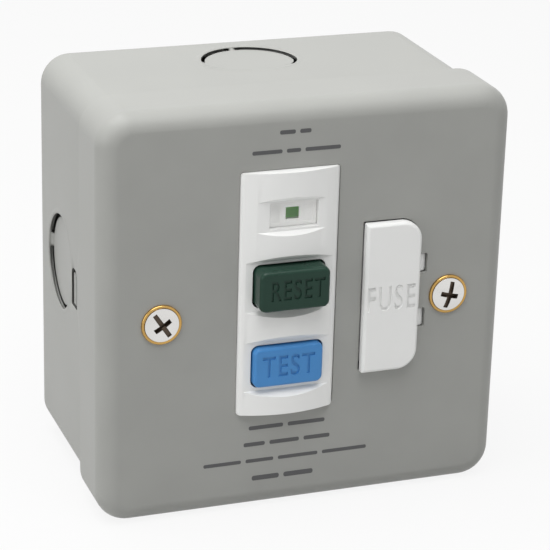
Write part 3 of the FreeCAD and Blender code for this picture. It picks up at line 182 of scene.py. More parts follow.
# The whole unit as it is loaded, before anything is added
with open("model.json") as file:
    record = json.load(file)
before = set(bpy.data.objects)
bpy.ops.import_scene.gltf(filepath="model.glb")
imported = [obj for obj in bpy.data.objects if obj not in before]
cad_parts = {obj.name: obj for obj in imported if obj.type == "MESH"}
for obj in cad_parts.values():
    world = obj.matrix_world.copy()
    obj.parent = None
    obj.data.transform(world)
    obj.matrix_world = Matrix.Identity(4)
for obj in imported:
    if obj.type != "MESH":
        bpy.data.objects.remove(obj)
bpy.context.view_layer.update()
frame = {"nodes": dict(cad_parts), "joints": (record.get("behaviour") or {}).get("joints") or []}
cad_nodes = frame["nodes"]


# Places

def span(node):
    """Lowest and highest corner of a CAD node, in millimetres."""
    low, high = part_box(node)
    return low / MM, high / MM


def middle(node):
    """Centre of a CAD node's box, in millimetres."""
    low, high = span(node)
    return (low + high) / 2


def rear_beyond(node, reach):
    """Rearmost depth of a node's points that lie further aside than a stem does."""
    aside = middle(node).x
    points = [v.co / MM for v in cad_nodes[node].data.vertices]
    return max(p.y for p in points if abs(p.x - aside) > reach)


def front_plane(y):
    """Plane that faces the viewer: its first axis runs right, its second up."""
    return Matrix(((1, 0, 0, 0), (0, 0, -1, y), (0, 1, 0, 0), (0, 0, 0, 1)))


def wall_plane(place, rearward, sideways):
    """Plane of a box wall: its first axis runs to the rear, its second sideways."""
    along = Vector(rearward).normalized()
    across = Vector(sideways).normalized()
    normal = along.cross(across)
    plane = Matrix((along, across, normal)).transposed().to_4x4()
    plane.translation = Vector(place)
    return plane


# Shared node groups

def add(tree, kind, inputs=None, **settings):
    """Adds a node with its settings and the values of its inputs, by name or number."""
    made = tree.nodes.new(kind)
    for name, value in settings.items():
        setattr(made, name, value)
    for name, value in (inputs or {}).items():
        made.inputs[name].default_value = value
    return made


def new_group(name, inputs, outputs):
    """Starts a node group with its named sockets."""
    tree = bpy.data.node_groups.new(name, "ShaderNodeTree")
    for socket, kind, value in inputs:
        made = tree.interface.new_socket(socket, in_out="INPUT", socket_type=kind)
        made.default_value = value
    for socket, kind in outputs:
        tree.interface.new_socket(socket, in_out="OUTPUT", socket_type=kind)
    return tree, tree.nodes.new("NodeGroupInput"), tree.nodes.new("NodeGroupOutput")


def surface_grain_group():
    """Fine grain of a surface and the broad patches in which its tone and gloss drift."""
    tree, given, out = new_group(
        "surface_grain",
        [("Scale", "NodeSocketFloat", 900.0), ("Roughened", "NodeSocketFloat", 0.5)],
        [("Height", "NodeSocketFloat"), ("Patch", "NodeSocketFloat")],
    )
    link = tree.links.new
    place = add(tree, "ShaderNodeTexCoord")
    fine = add(tree, "ShaderNodeTexNoise", {"Detail": 3.0})
    link(place.outputs["Object"], fine.inputs["Vector"])
    link(given.outputs["Scale"], fine.inputs["Scale"])
    link(given.outputs["Roughened"], fine.inputs["Roughness"])
    coarse_scale = add(tree, "ShaderNodeMath", {1: 14.0}, operation="DIVIDE")
    link(given.outputs["Scale"], coarse_scale.inputs[0])
    coarse = add(tree, "ShaderNodeTexNoise", {"Detail": 2.0, "Roughness": 0.55})
    link(place.outputs["Object"], coarse.inputs["Vector"])
    link(coarse_scale.outputs[0], coarse.inputs["Scale"])
    spread = add(tree, "ShaderNodeMapRange", {"From Min": 0.3, "From Max": 0.7})
    link(coarse.outputs["Fac"], spread.inputs["Value"])
    link(fine.outputs["Fac"], out.inputs["Height"])
    link(spread.outputs["Result"], out.inputs["Patch"])
    return tree


def tone_drift_group():
    """Makes a colour a little lighter and darker from patch to patch."""
    tree, given, out = new_group(
        "tone_drift",
        [("Color", "NodeSocketColor", (0.5, 0.5, 0.5, 1.0)),
         ("Patch", "NodeSocketFloat", 0.5),
         ("Drift", "NodeSocketFloat", 0.03)],
        [("Color", "NodeSocketColor")],
    )
    link = tree.links.new
    centred = add(tree, "ShaderNodeMath", {1: 0.5}, operation="SUBTRACT")
    link(given.outputs["Patch"], centred.inputs[0])
    amount = add(tree, "ShaderNodeMath", {2: 1.0}, operation="MULTIPLY_ADD")
    link(centred.outputs[0], amount.inputs[0])
    link(given.outputs["Drift"], amount.inputs[1])
    tinted = add(tree, "ShaderNodeVectorMath", operation="SCALE")
    link(given.outputs["Color"], tinted.inputs[0])
    link(amount.outputs[0], tinted.inputs["Scale"])
    link(tinted.outputs[0], out.inputs["Color"])
    return tree


def turned_marks_group():
    """Fine rings that a lathe or a screwdriver leaves round the two plate screws."""
    tree, given, out = new_group(
        "turned_marks",
        [("Centre", "NodeSocketFloat", 0.03), ("Rings", "NodeSocketFloat", 20000.0)],
        [("Height", "NodeSocketFloat")],
    )
    link = tree.links.new
    place = add(tree, "ShaderNodeTexCoord")
    parts = add(tree, "ShaderNodeSeparateXYZ")
    link(place.outputs["Object"], parts.inputs[0])
    side = add(tree, "ShaderNodeMath", operation="ABSOLUTE")
    link(parts.outputs["X"], side.inputs[0])
    across = add(tree, "ShaderNodeMath", operation="SUBTRACT")
    link(side.outputs[0], across.inputs[0])
    link(given.outputs["Centre"], across.inputs[1])
    joined = add(tree, "ShaderNodeCombineXYZ")
    link(across.outputs[0], joined.inputs["X"])
    link(parts.outputs["Z"], joined.inputs["Z"])
    radius = add(tree, "ShaderNodeVectorMath", operation="LENGTH")
    link(joined.outputs[0], radius.inputs[0])
    turns = add(tree, "ShaderNodeMath", operation="MULTIPLY")
    link(radius.outputs["Value"], turns.inputs[0])
    link(given.outputs["Rings"], turns.inputs[1])
    wave = add(tree, "ShaderNodeMath", operation="SINE")
    link(turns.outputs[0], wave.inputs[0])
    link(wave.outputs[0], out.inputs["Height"])
    return tree


surface_grain = surface_grain_group()
tone_drift = tone_drift_group()
turned_marks = turned_marks_group()


# Finishes

def finish(name, colour, roughness, scale=900.0, depth=0.00001, drift=0.05, gloss_drift=0.05,
           **constants):
    """Material with drifting tone and gloss and a grain; constants go on the shader itself."""
    material = bpy.data.materials.new(name)
    material.use_nodes = True
    tree = material.node_tree
    link = tree.links.new
    shader = tree.nodes["Principled BSDF"]
    for socket, value in constants.items():
        shader.inputs[socket.replace("_", " ")].default_value = value
    grain = add(tree, "ShaderNodeGroup", {"Scale": scale}, node_tree=surface_grain)
    tone = add(tree, "ShaderNodeGroup", {"Color": (*colour, 1.0), "Drift": drift},
               node_tree=tone_drift)
    link(grain.outputs["Patch"], tone.inputs["Patch"])
    link(tone.outputs["Color"], shader.inputs["Base Color"])
    gloss = add(tree, "ShaderNodeMapRange",
                {"To Min": roughness - gloss_drift, "To Max": roughness + gloss_drift})
    link(grain.outputs["Patch"], gloss.inputs["Value"])
    link(gloss.outputs["Result"], shader.inputs["Roughness"])
    bump = add(tree, "ShaderNodeBump", {"Distance": depth, "Strength": 1.0})
    link(grain.outputs["Height"], bump.inputs["Height"])
    link(bump.outputs["Normal"], shader.inputs["Normal"])
    return material


def add_turned_marks(material, centre, rings, share):
    """Adds lathe rings to a finish's relief."""
    tree = material.node_tree
    link = tree.links.new
    bump = next(n for n in tree.nodes if n.type == "BUMP")
    grain = bump.inputs["Height"].links[0].from_socket
    marks = add(tree, "ShaderNodeGroup", {"Centre": centre, "Rings": rings},
                node_tree=turned_marks)
    mixed = add(tree, "ShaderNodeMath", {1: share}, operation="MULTIPLY_ADD")
    link(marks.outputs["Height"], mixed.inputs[0])
    link(grain, mixed.inputs[2])
    link(mixed.outputs[0], bump.inputs["Height"])
    return material


def banded(material, colours, low, high, axis):
    """Lays bands of colour across a finish along one axis, between two places in metres."""
    tree = material.node_tree
    link = tree.links.new
    tone = next(n for n in tree.nodes if n.type == "GROUP" and n.node_tree == tone_drift)
    place = add(tree, "ShaderNodeTexCoord")
    parts = add(tree, "ShaderNodeSeparateXYZ")
    link(place.outputs["Object"], parts.inputs[0])
    reach = add(tree, "ShaderNodeMapRange", {"From Min": low, "From Max": high})
    link(parts.outputs[axis], reach.inputs["Value"])
    ramp = tree.nodes.new("ShaderNodeValToRGB")
    ramp.color_ramp.interpolation = "CONSTANT"
    bands = ramp.color_ramp.elements
    bands[0].color = (*colours[0][1], 1.0)
    bands.remove(bands[1])
    for start, colour in colours[1:]:
        bands.new(start).color = (*colour, 1.0)
    link(reach.outputs["Result"], ramp.inputs["Fac"])
    link(ramp.outputs["Color"], tone.inputs["Color"])
    return material


SCREW_CENTRE = middle("plate_screw_right").x * MM
FLAG_MIDDLE = middle("indicator_flag").z * MM
FLAG_DROP = next(j["range_m"][1] for j in frame["joints"] if j["name"] == "flag_drop")
RESISTOR_LOW, RESISTOR_HIGH = (corner.x * MM for corner in span("test_resistor"))
RESISTOR_BLUE = (0.28, 0.42, 0.55)

grey_paint = finish("grey_painted_steel", (0.34, 0.343, 0.326), 0.42, 1100.0, 0.000012, 0.05, 0.04,
                    Specular_IOR_Level=0.25)
# Near-black for the box's cut edges: partly bare sheared steel, partly painted shade inside the
# slits, the lug's slot and the holes
sheared_edge = finish("sheared_edge", (0.035, 0.034, 0.03), 0.6, 1500.0, 0.00002, 0.3)
plate_print = finish("dark_grey_print", (0.075, 0.075, 0.078), 0.5, 1500.0, 0.000004, 0.1)
dull_zinc = finish("dull_zinc", (0.3, 0.304, 0.29), 0.55, 700.0, 0.00001, 0.12, 0.06,
                   Specular_IOR_Level=0.25)
zinc = finish("zinc_plated_steel", (0.62, 0.62, 0.6), 0.34, 700.0, 0.00001, 0.15, 0.08, Metallic=1.0)
nickel = add_turned_marks(
    finish("nickel_plated_steel", (0.7, 0.69, 0.67), 0.16, 1600.0, 0.000003, 0.1, 0.05, Metallic=1.0),
    SCREW_CENTRE, 14000.0, 0.25)
# Dark brown for the walls of the screws' recesses, darker than the nickel head
recess_brown = finish("oiled_recess", (0.1, 0.075, 0.055), 0.45, 2200.0, 0.00001, 0.3, Metallic=0.8)
brass_cup = add_turned_marks(
    finish("turned_brass", (0.5, 0.31, 0.1), 0.2, 1600.0, 0.000004, 0.2, 0.06, Metallic=1.0),
    SCREW_CENTRE, 26000.0, 0.4)
brass_block = finish("cast_brass", (0.68, 0.48, 0.2), 0.3, 900.0, 0.00001, 0.12, Metallic=1.0)
silvered_brass = finish("silver_plated_brass", (0.76, 0.74, 0.68), 0.25, 900.0, 0.000006, 0.1,
                        Metallic=1.0)
white_moulding = finish("white_moulding", (0.82, 0.823, 0.812), 0.36, 2600.0, 0.000004, 0.012, 0.03,
                        Specular_IOR_Level=0.25)
window_clear = finish("clear_window", (0.9, 0.91, 0.9), 0.08, 2400.0, 0.000002, 0.0, 0.02,
                      Alpha=0.06, Specular_IOR_Level=0.3, IOR=1.49)
mask_white = finish("mask_white", (0.9, 0.9, 0.885), 0.5, 2000.0, 0.000004, 0.02)
grey_moulding = finish("grey_moulding", (0.2, 0.2, 0.21), 0.55, 1200.0, 0.00002, 0.1)
black_moulding = finish("black_moulding", (0.03, 0.03, 0.032), 0.5, 1500.0, 0.000012, 0.12)
green_moulding = finish("green_moulding", (0.013, 0.042, 0.028), 0.3, 2400.0, 0.000006, 0.08, 0.04,
                        Specular_IOR_Level=0.22)
blue_moulding = finish("blue_moulding", (0.06, 0.24, 0.55), 0.34, 2400.0, 0.000006, 0.05, 0.04,
                       Specular_IOR_Level=0.3)
flag_finish = banded(
    finish("flag_green_and_red", (0.1, 0.6, 0.2), 0.45, 2000.0, 0.000004, 0.03),
    [(0.0, (0.24, 0.93, 0.12)), (0.5, (0.62, 0.03, 0.02))],
    FLAG_MIDDLE - FLAG_DROP, FLAG_MIDDLE + FLAG_DROP, "Z")
glazed_ceramic = finish("glazed_ceramic", (0.86, 0.84, 0.78), 0.2, 1200.0, 0.000006, 0.03)
laminate = finish("green_laminate", (0.03, 0.16, 0.07), 0.4, 3000.0, 0.000012, 0.2)
ferrite = finish("coated_ferrite", (0.05, 0.05, 0.055), 0.5, 1600.0, 0.00003, 0.15)
spring_steel = finish("spring_steel", (0.5, 0.5, 0.5), 0.3, 1200.0, 0.000006, 0.1, Metallic=1.0)
resistor_body = banded(
    finish("lacquered_resistor", (0.3, 0.45, 0.6), 0.35, 1500.0, 0.000008, 0.06),
    [(0.0, RESISTOR_BLUE), (0.2, (0.3, 0.12, 0.04)), (0.28, RESISTOR_BLUE),
     (0.38, (0.02, 0.02, 0.02)), (0.46, RESISTOR_BLUE), (0.56, (0.5, 0.03, 0.02)),
     (0.64, RESISTOR_BLUE), (0.78, (0.6, 0.42, 0.12)), (0.86, RESISTOR_BLUE)],
    RESISTOR_LOW, RESISTOR_HIGH, "X")


def wound_copper():
    """Enamelled wire laid turn by turn, seen as fine bands along the coil."""
    material = finish("enamelled_copper", (0.5, 0.17, 0.06), 0.3, 900.0, 0.00004, 0.2, Metallic=0.7)
    tree = material.node_tree
    link = tree.links.new
    place = add(tree, "ShaderNodeTexCoord")
    turns = add(tree, "ShaderNodeTexWave", {"Scale": 900.0, "Distortion": 0.4},
                bands_direction="Z", wave_profile="SIN")
    link(place.outputs["Object"], turns.inputs["Vector"])
    bump = next(n for n in tree.nodes if n.type == "BUMP")
    link(turns.outputs["Fac"], bump.inputs["Height"])
    return material


copper_winding = wound_copper()


# Mesh helpers

def outline(bm, plane, corners, steps=8):
    """Flat face on a plane, from (across, up, corner radius) in order."""
    points = [bm.verts.new(plane @ Vector((a, b, 0))) for a, b, _ in corners]
    before = set(bm.faces)
    bm.faces.new(points)
    for point, (_, _, radius) in zip(points, corners):
        if radius:
            bmesh.ops.bevel(bm, geom=[point], offset=radius, offset_type="OFFSET", segments=steps,
                            profile=0.5, affect="VERTICES", material=-1)
    return [face for face in bm.faces if face not in before]


def rectangle(left, right, low, high, radius=0.0):
    """Corners of a rectangle, all of one radius."""
    return [(left, low, radius), (right, low, radius), (right, high, radius), (left, high, radius)]


def cut_line(bm, plane, corners, steps=8):
    """Closed line of edges for a hole, with no face in it."""
    faces = outline(bm, plane, corners, steps)
    edges = list({edge for face in faces for edge in face.edges})
    bmesh.ops.delete(bm, geom=faces, context="FACES_ONLY")
    return edges


def ring_line(bm, plane, across, up, radius, steps=48):
    """Closed round line of edges for a hole."""
    made = bmesh.ops.create_circle(bm, cap_ends=False, segments=steps, radius=radius,
                                   matrix=plane @ Matrix.Translation((across, up, 0)))
    return list({edge for vert in made["verts"] for edge in vert.link_edges})


def fill_between(bm, edges):
    """Fills the surface between an outer line and the lines of its holes."""
    bmesh.ops.triangle_fill(bm, use_beauty=True, use_dissolve=False, edges=edges)


def whole_flats(bm):
    """Joins the triangles of flat faces into whole faces."""
    bmesh.ops.dissolve_degenerate(bm, dist=MERGED, edges=bm.edges)
    bmesh.ops.dissolve_limit(bm, angle_limit=math.radians(0.5), verts=bm.verts, edges=bm.edges)


def open_face(bm, face):
    """Takes a face away and gives the edges that it leaves."""
    edges = list(face.edges)
    bmesh.ops.delete(bm, geom=[face], context="FACES_ONLY")
    return edges


def drawn(bm, faces, rise, keep=True, along=(0, 1, 0)):
    """Draws faces one way; gives the points of the drawn end. A lone face stays behind."""
    made = bmesh.ops.extrude_face_region(bm, geom=faces, use_keep_orig=keep)
    ends = [item for item in made["geom"] if isinstance(item, bmesh.types.BMVert)]
    bmesh.ops.translate(bm, vec=Vector(along) * rise, verts=ends)
    return ends


def edges_at(bm, depth):
    """Edges that lie wholly at one place along Y."""
    return [edge for edge in bm.edges if all(abs(v.co.y - depth) < SAME for v in edge.verts)]


def face_at(bm, depth):
    """The largest face at one place along Y."""
    flat = [f for f in bm.faces if all(abs(v.co.y - depth) < SAME for v in f.verts)]
    return max(flat, key=lambda face: face.calc_area())


def soften(bm, edges, width, steps):
    """Rounds edges over."""
    bmesh.ops.bevel(bm, geom=edges, offset=width, offset_type="OFFSET", segments=steps,
                    profile=0.5, affect="EDGES", material=-1)


def turned_about(bm, profile, across, up, steps=56):
    """Turns a profile of (radius, depth) about a line that runs to the rear."""
    points = [bm.verts.new((across + radius, depth, up)) for radius, depth in profile]
    edges = [bm.edges.new(pair) for pair in zip(points, points[1:])]
    bmesh.ops.spin(bm, geom=points + edges, cent=(across, 0, up), axis=(0, 1, 0),
                   angle=2 * math.pi, steps=steps, use_merge=True, use_duplicate=False)
    bmesh.ops.remove_doubles(bm, verts=bm.verts, dist=MERGED)


def outward(bm):
    """Turns every face outwards once the doubles are merged."""
    bmesh.ops.remove_doubles(bm, verts=bm.verts, dist=MERGED)
    bmesh.ops.recalc_face_normals(bm, faces=bm.faces)


def faced(bm, depth, way):
    """Turns the faces of an open shell so that its flat at one depth looks one way along Y."""
    outward(bm)
    if face_at(bm, depth).normal.y * way < 0:
        bmesh.ops.reverse_faces(bm, faces=bm.faces)
    bm.normal_update()


def shaded_mesh(bm, name, sharp=38.0):
    """Mesh in metres from a bmesh in millimetres, smooth but for its sharp edges."""
    bmesh.ops.scale(bm, vec=(MM, MM, MM), verts=bm.verts)
    mesh = bpy.data.meshes.new(name)
    bm.to_mesh(mesh)
    bm.free()
    mesh.polygons.foreach_set("use_smooth", [True] * len(mesh.polygons))
    mesh.set_sharp_from_angle(angle=math.radians(sharp))
    return mesh


def piece(name, mesh, finishes, body, replaced=()):
    """Adds a finished mesh to the unit as a piece that rides on a body."""
    for material in finishes if isinstance(finishes, tuple) else (finishes,):
        mesh.materials.append(material)
    made = bpy.data.objects.new(name, mesh)
    bpy.context.scene.collection.objects.link(made)
    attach(made, body)
    if replaced:
        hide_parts(*replaced)
    return made


def evened(made):
    """Keeps the flat faces of a smooth piece flat."""
    even = made.modifiers.new("even_faces", "WEIGHTED_NORMAL")
    even.keep_sharp = True


def rounded_over(made, width, steps=2, angle=40.0):
    """Gives a piece soft edges."""
    edge = made.modifiers.new("soft_edges", "BEVEL")
    edge.width = width * MM
    edge.segments = steps
    edge.limit_method = "ANGLE"
    edge.angle_limit = math.radians(angle)
    evened(made)


def walled(made, thickness):
    """Gives an open shell its sheet thickness, inwards."""
    sheet = made.modifiers.new("sheet", "SOLIDIFY")
    sheet.thickness = thickness * MM
    sheet.offset = -1.0
    sheet.use_even_offset = False
    return made


def carved(name, body, tools, finishes):
    """Body with tools cut out of it, in millimetres; the cut faces take the last finish."""
    parts = []
    for number, bm in enumerate((body, *tools)):
        mesh = bpy.data.meshes.new(f"{name}_{number}")
        for face in bm.faces:
            face.material_index = len(finishes) - 1 if number else 0
        bm.to_mesh(mesh)
        for material in finishes:
            mesh.materials.append(material)
        bm.free()
        part = bpy.data.objects.new(f"{name}_{number}", mesh)
        bpy.context.scene.collection.objects.link(part)
        parts.append(part)
    for tool in parts[1:]:
        cutting = parts[0].modifiers.new("carve", "BOOLEAN")
        cutting.operation = "DIFFERENCE"
        cutting.solver = "EXACT"
        cutting.object = tool
    graph = bpy.context.evaluated_depsgraph_get()
    result = bmesh.new()
    result.from_mesh(parts[0].evaluated_get(graph).to_mesh())
    for part in parts:
        mesh = part.data
        bpy.data.objects.remove(part)
        bpy.data.meshes.remove(mesh)
    return result


def merged_copy(node):
    """Copy of a CAD node in millimetres with its points merged and its flat faces whole."""
    bm = bmesh.new()
    bm.from_mesh(cad_nodes[node].data)
    bmesh.ops.scale(bm, vec=(1 / MM, 1 / MM, 1 / MM), verts=bm.verts)
    bmesh.ops.remove_doubles(bm, verts=bm.verts, dist=MERGED_NODE)
    bmesh.ops.dissolve_limit(bm, angle_limit=math.radians(1.0), verts=bm.verts, edges=bm.edges)
    return bm


# Pressed front plate

def plate_openings(bm, plane):
    """Lines of the module window, the fuse opening with its notches and the screw seats."""
    module = middle("module_front")
    wide = MODULE_WIDTH / 2 + MODULE_GAP
    tall = MODULE_HEIGHT / 2 + MODULE_GAP
    lines = cut_line(bm, plane, rectangle(module.x - wide, module.x + wide,
                                          module.z - tall, module.z + tall,
                                          MODULE_CORNER + MODULE_GAP), 6)
    low, high = span("fuse_carrier")
    left = low.x - CAP_GAP
    right = high.x - KNUCKLE_REACH + CAP_GAP
    bottom = low.z - CAP_GAP
    top = high.z + CAP_GAP
    notch = high.x - NOTCH_SHORT
    corner = CAP_CORNER + CAP_GAP
    upper, lower = NOTCH_MIDDLES
    half = NOTCH_HEIGHT / 2
    lines += cut_line(bm, plane, [
        (left, bottom, 0.5), (right, bottom, corner),
        (right, lower - half, 0.0), (notch, lower - half, NOTCH_CORNER),
        (notch, lower + half, NOTCH_CORNER), (right, lower + half, 0.0),
        (right, upper - half, 0.0), (notch, upper - half, NOTCH_CORNER),
        (notch, upper + half, NOTCH_CORNER), (right, upper + half, 0.0),
        (right, top, corner), (left, top, 0.2),
    ])
    for screw in ("plate_screw_left", "plate_screw_right"):
        place = middle(screw)
        lines += ring_line(bm, plane, place.x, place.z, CUP_SEAT / 2)
    return lines


def build_plate():
    """Deep pressed cover with a rolled front edge and soft-edged openings."""
    low, high = span("front_plate")
    bm = bmesh.new()
    skirt = outline(bm, front_plane(high.y),
                    rectangle(low.x, high.x, low.z, high.z, PLATE_CORNER), 12)
    drawn(bm, skirt, low.y - high.y, keep=False)
    soften(bm, edges_at(bm, low.y), PLATE_ROLL, 10)
    open_face(bm, face_at(bm, high.y))
    edges = open_face(bm, face_at(bm, low.y))
    fill_between(bm, edges + plate_openings(bm, front_plane(low.y)))
    whole_flats(bm)
    faced(bm, low.y, -1)
    made = piece("plate_shell", shaded_mesh(bm, "plate_shell"), grey_paint, "unit",
                 ["front_plate"])
    rounded_over(walled(made, PLATE_WALL), PLATE_EDGE)


def build_print():
    """Plain bars that stand in the places of the printed lines."""
    face = span("front_plate")[0].y
    bm = bmesh.new()
    for base, height, bars in PRINT_ROWS:
        centre = base + height / 2
        half = height * PRINT_SHARE
        for left, right in bars:
            ink = outline(bm, front_plane(face - PRINT_LIFT),
                          rectangle(left, right, centre - half, centre + half, half * PRINT_ROUND), 4)
            drawn(bm, ink, -PRINT_INK)
    outward(bm)
    piece("plate_print_bars", shaded_mesh(bm, "plate_print_bars"), plate_print, "unit")


# Drawn back box

def knockout(bm, plane, inward, form, rim=KNOCKOUT_RIM):
    """Half-sheared disc held by bridges: a raised rim, slits, and the disc pressed in behind them."""
    slits, press, turned_in = form
    reach = KNOCKOUT_WIDTH / 2
    disc = reach - KNOCKOUT_SLIT
    raised = [(reach + 1.3, 0.0), (reach + 0.8, -0.7 * rim), (reach + 0.3, -rim)] if rim else []
    brink = [(reach, -0.4 * rim), (reach - 0.05, turned_in)]
    inner = [(disc, press + 0.14), (disc - 0.2, press + 0.03), (disc - 0.6, press)]
    back = plane.inverted()
    lines = []
    for radius, sink in raised + brink + inner:
        verts = bmesh.ops.create_circle(bm, cap_ends=False, segments=96, radius=radius,
                                        matrix=plane)["verts"]
        lines.append(list({edge for vert in verts for edge in vert.link_edges}))
        for vert in verts:
            place = back @ vert.co
            share = math.sqrt(max(0.0, 1 + place.x / place.length) / 2)
            place.x *= KNOCKOUT_FRONT if place.x < 0 else 1.0
            vert.co = plane @ place + Vector(inward) * sink * share
    last_edge = lines[len(raised) + 1]
    open_parts = []
    for line, following in zip(lines, lines[1:]):
        ring = bmesh.ops.bridge_loops(bm, edges=line + following)["faces"]
        if line is not last_edge:
            continue
        for face in ring:
            place = back @ face.calc_center_median()
            angle = math.degrees(math.atan2(place.y, place.x))
            if any(start < angle < end for start, end in slits):
                open_parts.append(face)
    bmesh.ops.delete(bm, geom=open_parts, context="FACES_ONLY")
    bm.faces.new(verts)
    return lines[0]


def side_face(bm, direction):
    """The largest face that looks one way."""
    looking = [f for f in bm.faces if f.normal.dot(Vector(direction)) > 0.9]
    return max(looking, key=lambda face: face.calc_area())


def build_box():
    """Drawn box with half-sheared knockouts in its walls and floor and the lug's slot."""
    low, high = span("back_box")
    bm = bmesh.new()
    mouth = outline(bm, front_plane(low.y), rectangle(low.x, high.x, low.z, high.z, BOX_CORNER), 12)
    drawn(bm, mouth, high.y - low.y, keep=False)
    soften(bm, edges_at(bm, high.y), BOX_ROLL, 8)
    open_face(bm, face_at(bm, low.y))
    faced(bm, high.y, 1)
    at = high.x
    walls = [
        ((-1, 0, 0), (-at, -KNOCKOUT_DEPTH, KNOCKOUT_RISE), (0, 0, 1), SIDE_KNOCKOUT),
        ((1, 0, 0), (at, -KNOCKOUT_DEPTH, KNOCKOUT_RISE), (0, 0, 1), SIDE_KNOCKOUT),
        ((0, 0, 1), (TOP_KNOCKOUT_ASIDE, -TOP_KNOCKOUT_DEPTH, at), (-1, 0, 0), UPPER_KNOCKOUT),
        ((0, 0, -1), (0, -KNOCKOUT_DEPTH, -at), (1, 0, 0), UPPER_KNOCKOUT),
    ]
    for direction, place, sideways, form in walls:
        plane = wall_plane(place, (0, 1, 0), sideways)
        lines = open_face(bm, side_face(bm, direction))
        lines += knockout(bm, plane, -Vector(direction), form)
        if direction[0] < 0:
            front, rear = (depth + KNOCKOUT_DEPTH for depth in LUG_SLOT[:2])
            bottom, top = (height - KNOCKOUT_RISE for height in LUG_SLOT[2:])
            lower, upper = LUG_SLOT_CORNERS
            lines += cut_line(bm, plane, [
                (front, bottom, lower), (rear, bottom, lower),
                (rear, top, upper), (front, top, upper),
            ], 6)
        fill_between(bm, lines)
    plane = wall_plane((0, high.y, 0), (0, 0, 1), (1, 0, 0))
    lines = open_face(bm, face_at(bm, high.y))
    lines += knockout(bm, plane, (0, -1, 0), REAR_KNOCKOUT, 0.0)
    for side in (-1, 1):
        lines += ring_line(bm, plane, 0, side * WALL_HOLE_CENTRES / 2, WALL_HOLE / 2, 32)
    fill_between(bm, lines)
    faced(bm, high.y, 1)
    made = piece("box_shell", shaded_mesh(bm, "box_shell"), (grey_paint, sheared_edge), "unit",
                 ["back_box"])
    # The sheet's cut edges take the near-black finish, which paints shade into the slits, the lug's
    # slot and the holes
    walled(made, PLATE_WALL).modifiers["sheet"].material_offset_rim = 1
    evened(made)


# Push buttons and sunk words

def engraving(letters, place, width, height):
    """Tool that sinks letters into a face, with their centre at a place."""
    curve = bpy.data.curves.new(letters, "FONT")
    curve.body = letters
    curve.extrude = 0.1
    curve.resolution_u = 6
    curve.offset = LETTER_BOLDER
    curve.space_character = LETTER_SPACING
    text = bpy.data.objects.new(letters, curve)
    bpy.context.scene.collection.objects.link(text)
    graph = bpy.context.evaluated_depsgraph_get()
    mesh = bpy.data.meshes.new_from_object(text.evaluated_get(graph))
    bpy.data.objects.remove(text)
    bm = bmesh.new()
    bm.from_mesh(mesh)
    bpy.data.meshes.remove(mesh)
    corners = [v.co.copy() for v in bm.verts]
    low = Vector(map(min, zip(*corners)))
    high = Vector(map(max, zip(*corners)))
    size = high - low
    bmesh.ops.translate(bm, vec=-(low + high) / 2, verts=bm.verts)
    bmesh.ops.scale(bm, vec=(width / size.x, height / size.y, 2 * WORD_DEPTH / size.z),
                    verts=bm.verts)
    across, face, up = place
    bmesh.ops.transform(bm, matrix=front_plane(face) @ Matrix.Translation((across, up, 0)),
                        verts=bm.verts)
    outward(bm)
    return bm


def build_button(node, name, material, word):
    """Cap with rounded front edges and a sunk word, its retaining rim and its stem."""
    low, high = span(node)
    centre = middle(node)
    rim_rear = rear_beyond(node, STEM_WIDTH)
    face = low.y
    letters, width, height, aside = word
    wide = BUTTON_WIDTH / 2
    tall = BUTTON_HEIGHT / 2
    bm = bmesh.new()
    cap = outline(bm, front_plane(rim_rear), rectangle(
        centre.x - wide, centre.x + wide, centre.z - tall, centre.z + tall, BUTTON_CORNER), 8)
    drawn(bm, cap, face - rim_rear)
    soften(bm, edges_at(bm, face), BUTTON_EDGE, 6)
    outward(bm)
    tool = engraving(letters, (centre.x + aside, face, centre.z + WORD_LIFT), width, height)
    bm = carved(name, bm, [tool], (material,))
    rim = outline(bm, front_plane(rim_rear), rectangle(low.x, high.x, low.z, high.z))
    drawn(bm, rim, -RIM_SHEET)
    stem = STEM_WIDTH / 2
    turned_about(bm, [(0, high.y), (stem - STEM_EDGE, high.y), (stem, high.y - STEM_EDGE),
                      (stem, rim_rear), (0, rim_rear)], centre.x, centre.z, 32)
    outward(bm)
    evened(piece(name, shaded_mesh(bm, name, 50.0), material, node, [node]))


# Plate screws and their cups

def build_cup(side):
    """Turned brass bush whose rounded lip stands on the plate."""
    node = f"screw_cup_{side}"
    low, high = span(node)
    centre = middle(node)
    outer = (high.x - low.x) / 2
    seat = span("front_plate")[0].y
    lip = low.y
    bush = outer - CUP_WALL
    inner = outer - CUP_LIP
    edge = lip + CUP_EDGE
    profile = [
        (bush, seat + PLATE_WALL), (bush, seat), (outer, seat), (outer, seat - 0.2),
        (outer - 0.05, edge), (outer - 0.16, lip + 0.03), (outer - 0.3, lip),
        (inner + CUP_EDGE, lip + 0.03), (inner, edge), (inner - 1.0, edge + 1.0),
        (inner - 1.3, high.y), (bush, high.y),
    ]
    bm = bmesh.new()
    turned_about(bm, profile, centre.x, centre.z, 72)
    outward(bm)
    piece(f"brass_cup_{side}", shaded_mesh(bm, node, 45.0), brass_cup, "unit", [node])


def screw_blank(node, top):
    """Raised head, cone and shank of a plate screw, without its recess."""
    low, high = span(node)
    centre = middle(node)
    head = (high.x - low.x) / 2
    crown = top - low.y
    ball = (head * head + crown * crown) / (2 * crown)
    profile = []
    steps = 10
    for step in range(steps + 1):
        radius = head * step / steps
        profile.append((radius, low.y + ball - math.sqrt(ball * ball - radius * radius)))
    profile += [(head, top + CUP_EDGE), (SHANK, top + head - SHANK), (SHANK, high.y - SHANK_END),
                (SHANK - SHANK_END, high.y), (0, high.y)]
    bm = bmesh.new()
    turned_about(bm, profile, centre.x, centre.z)
    outward(bm)
    return bm


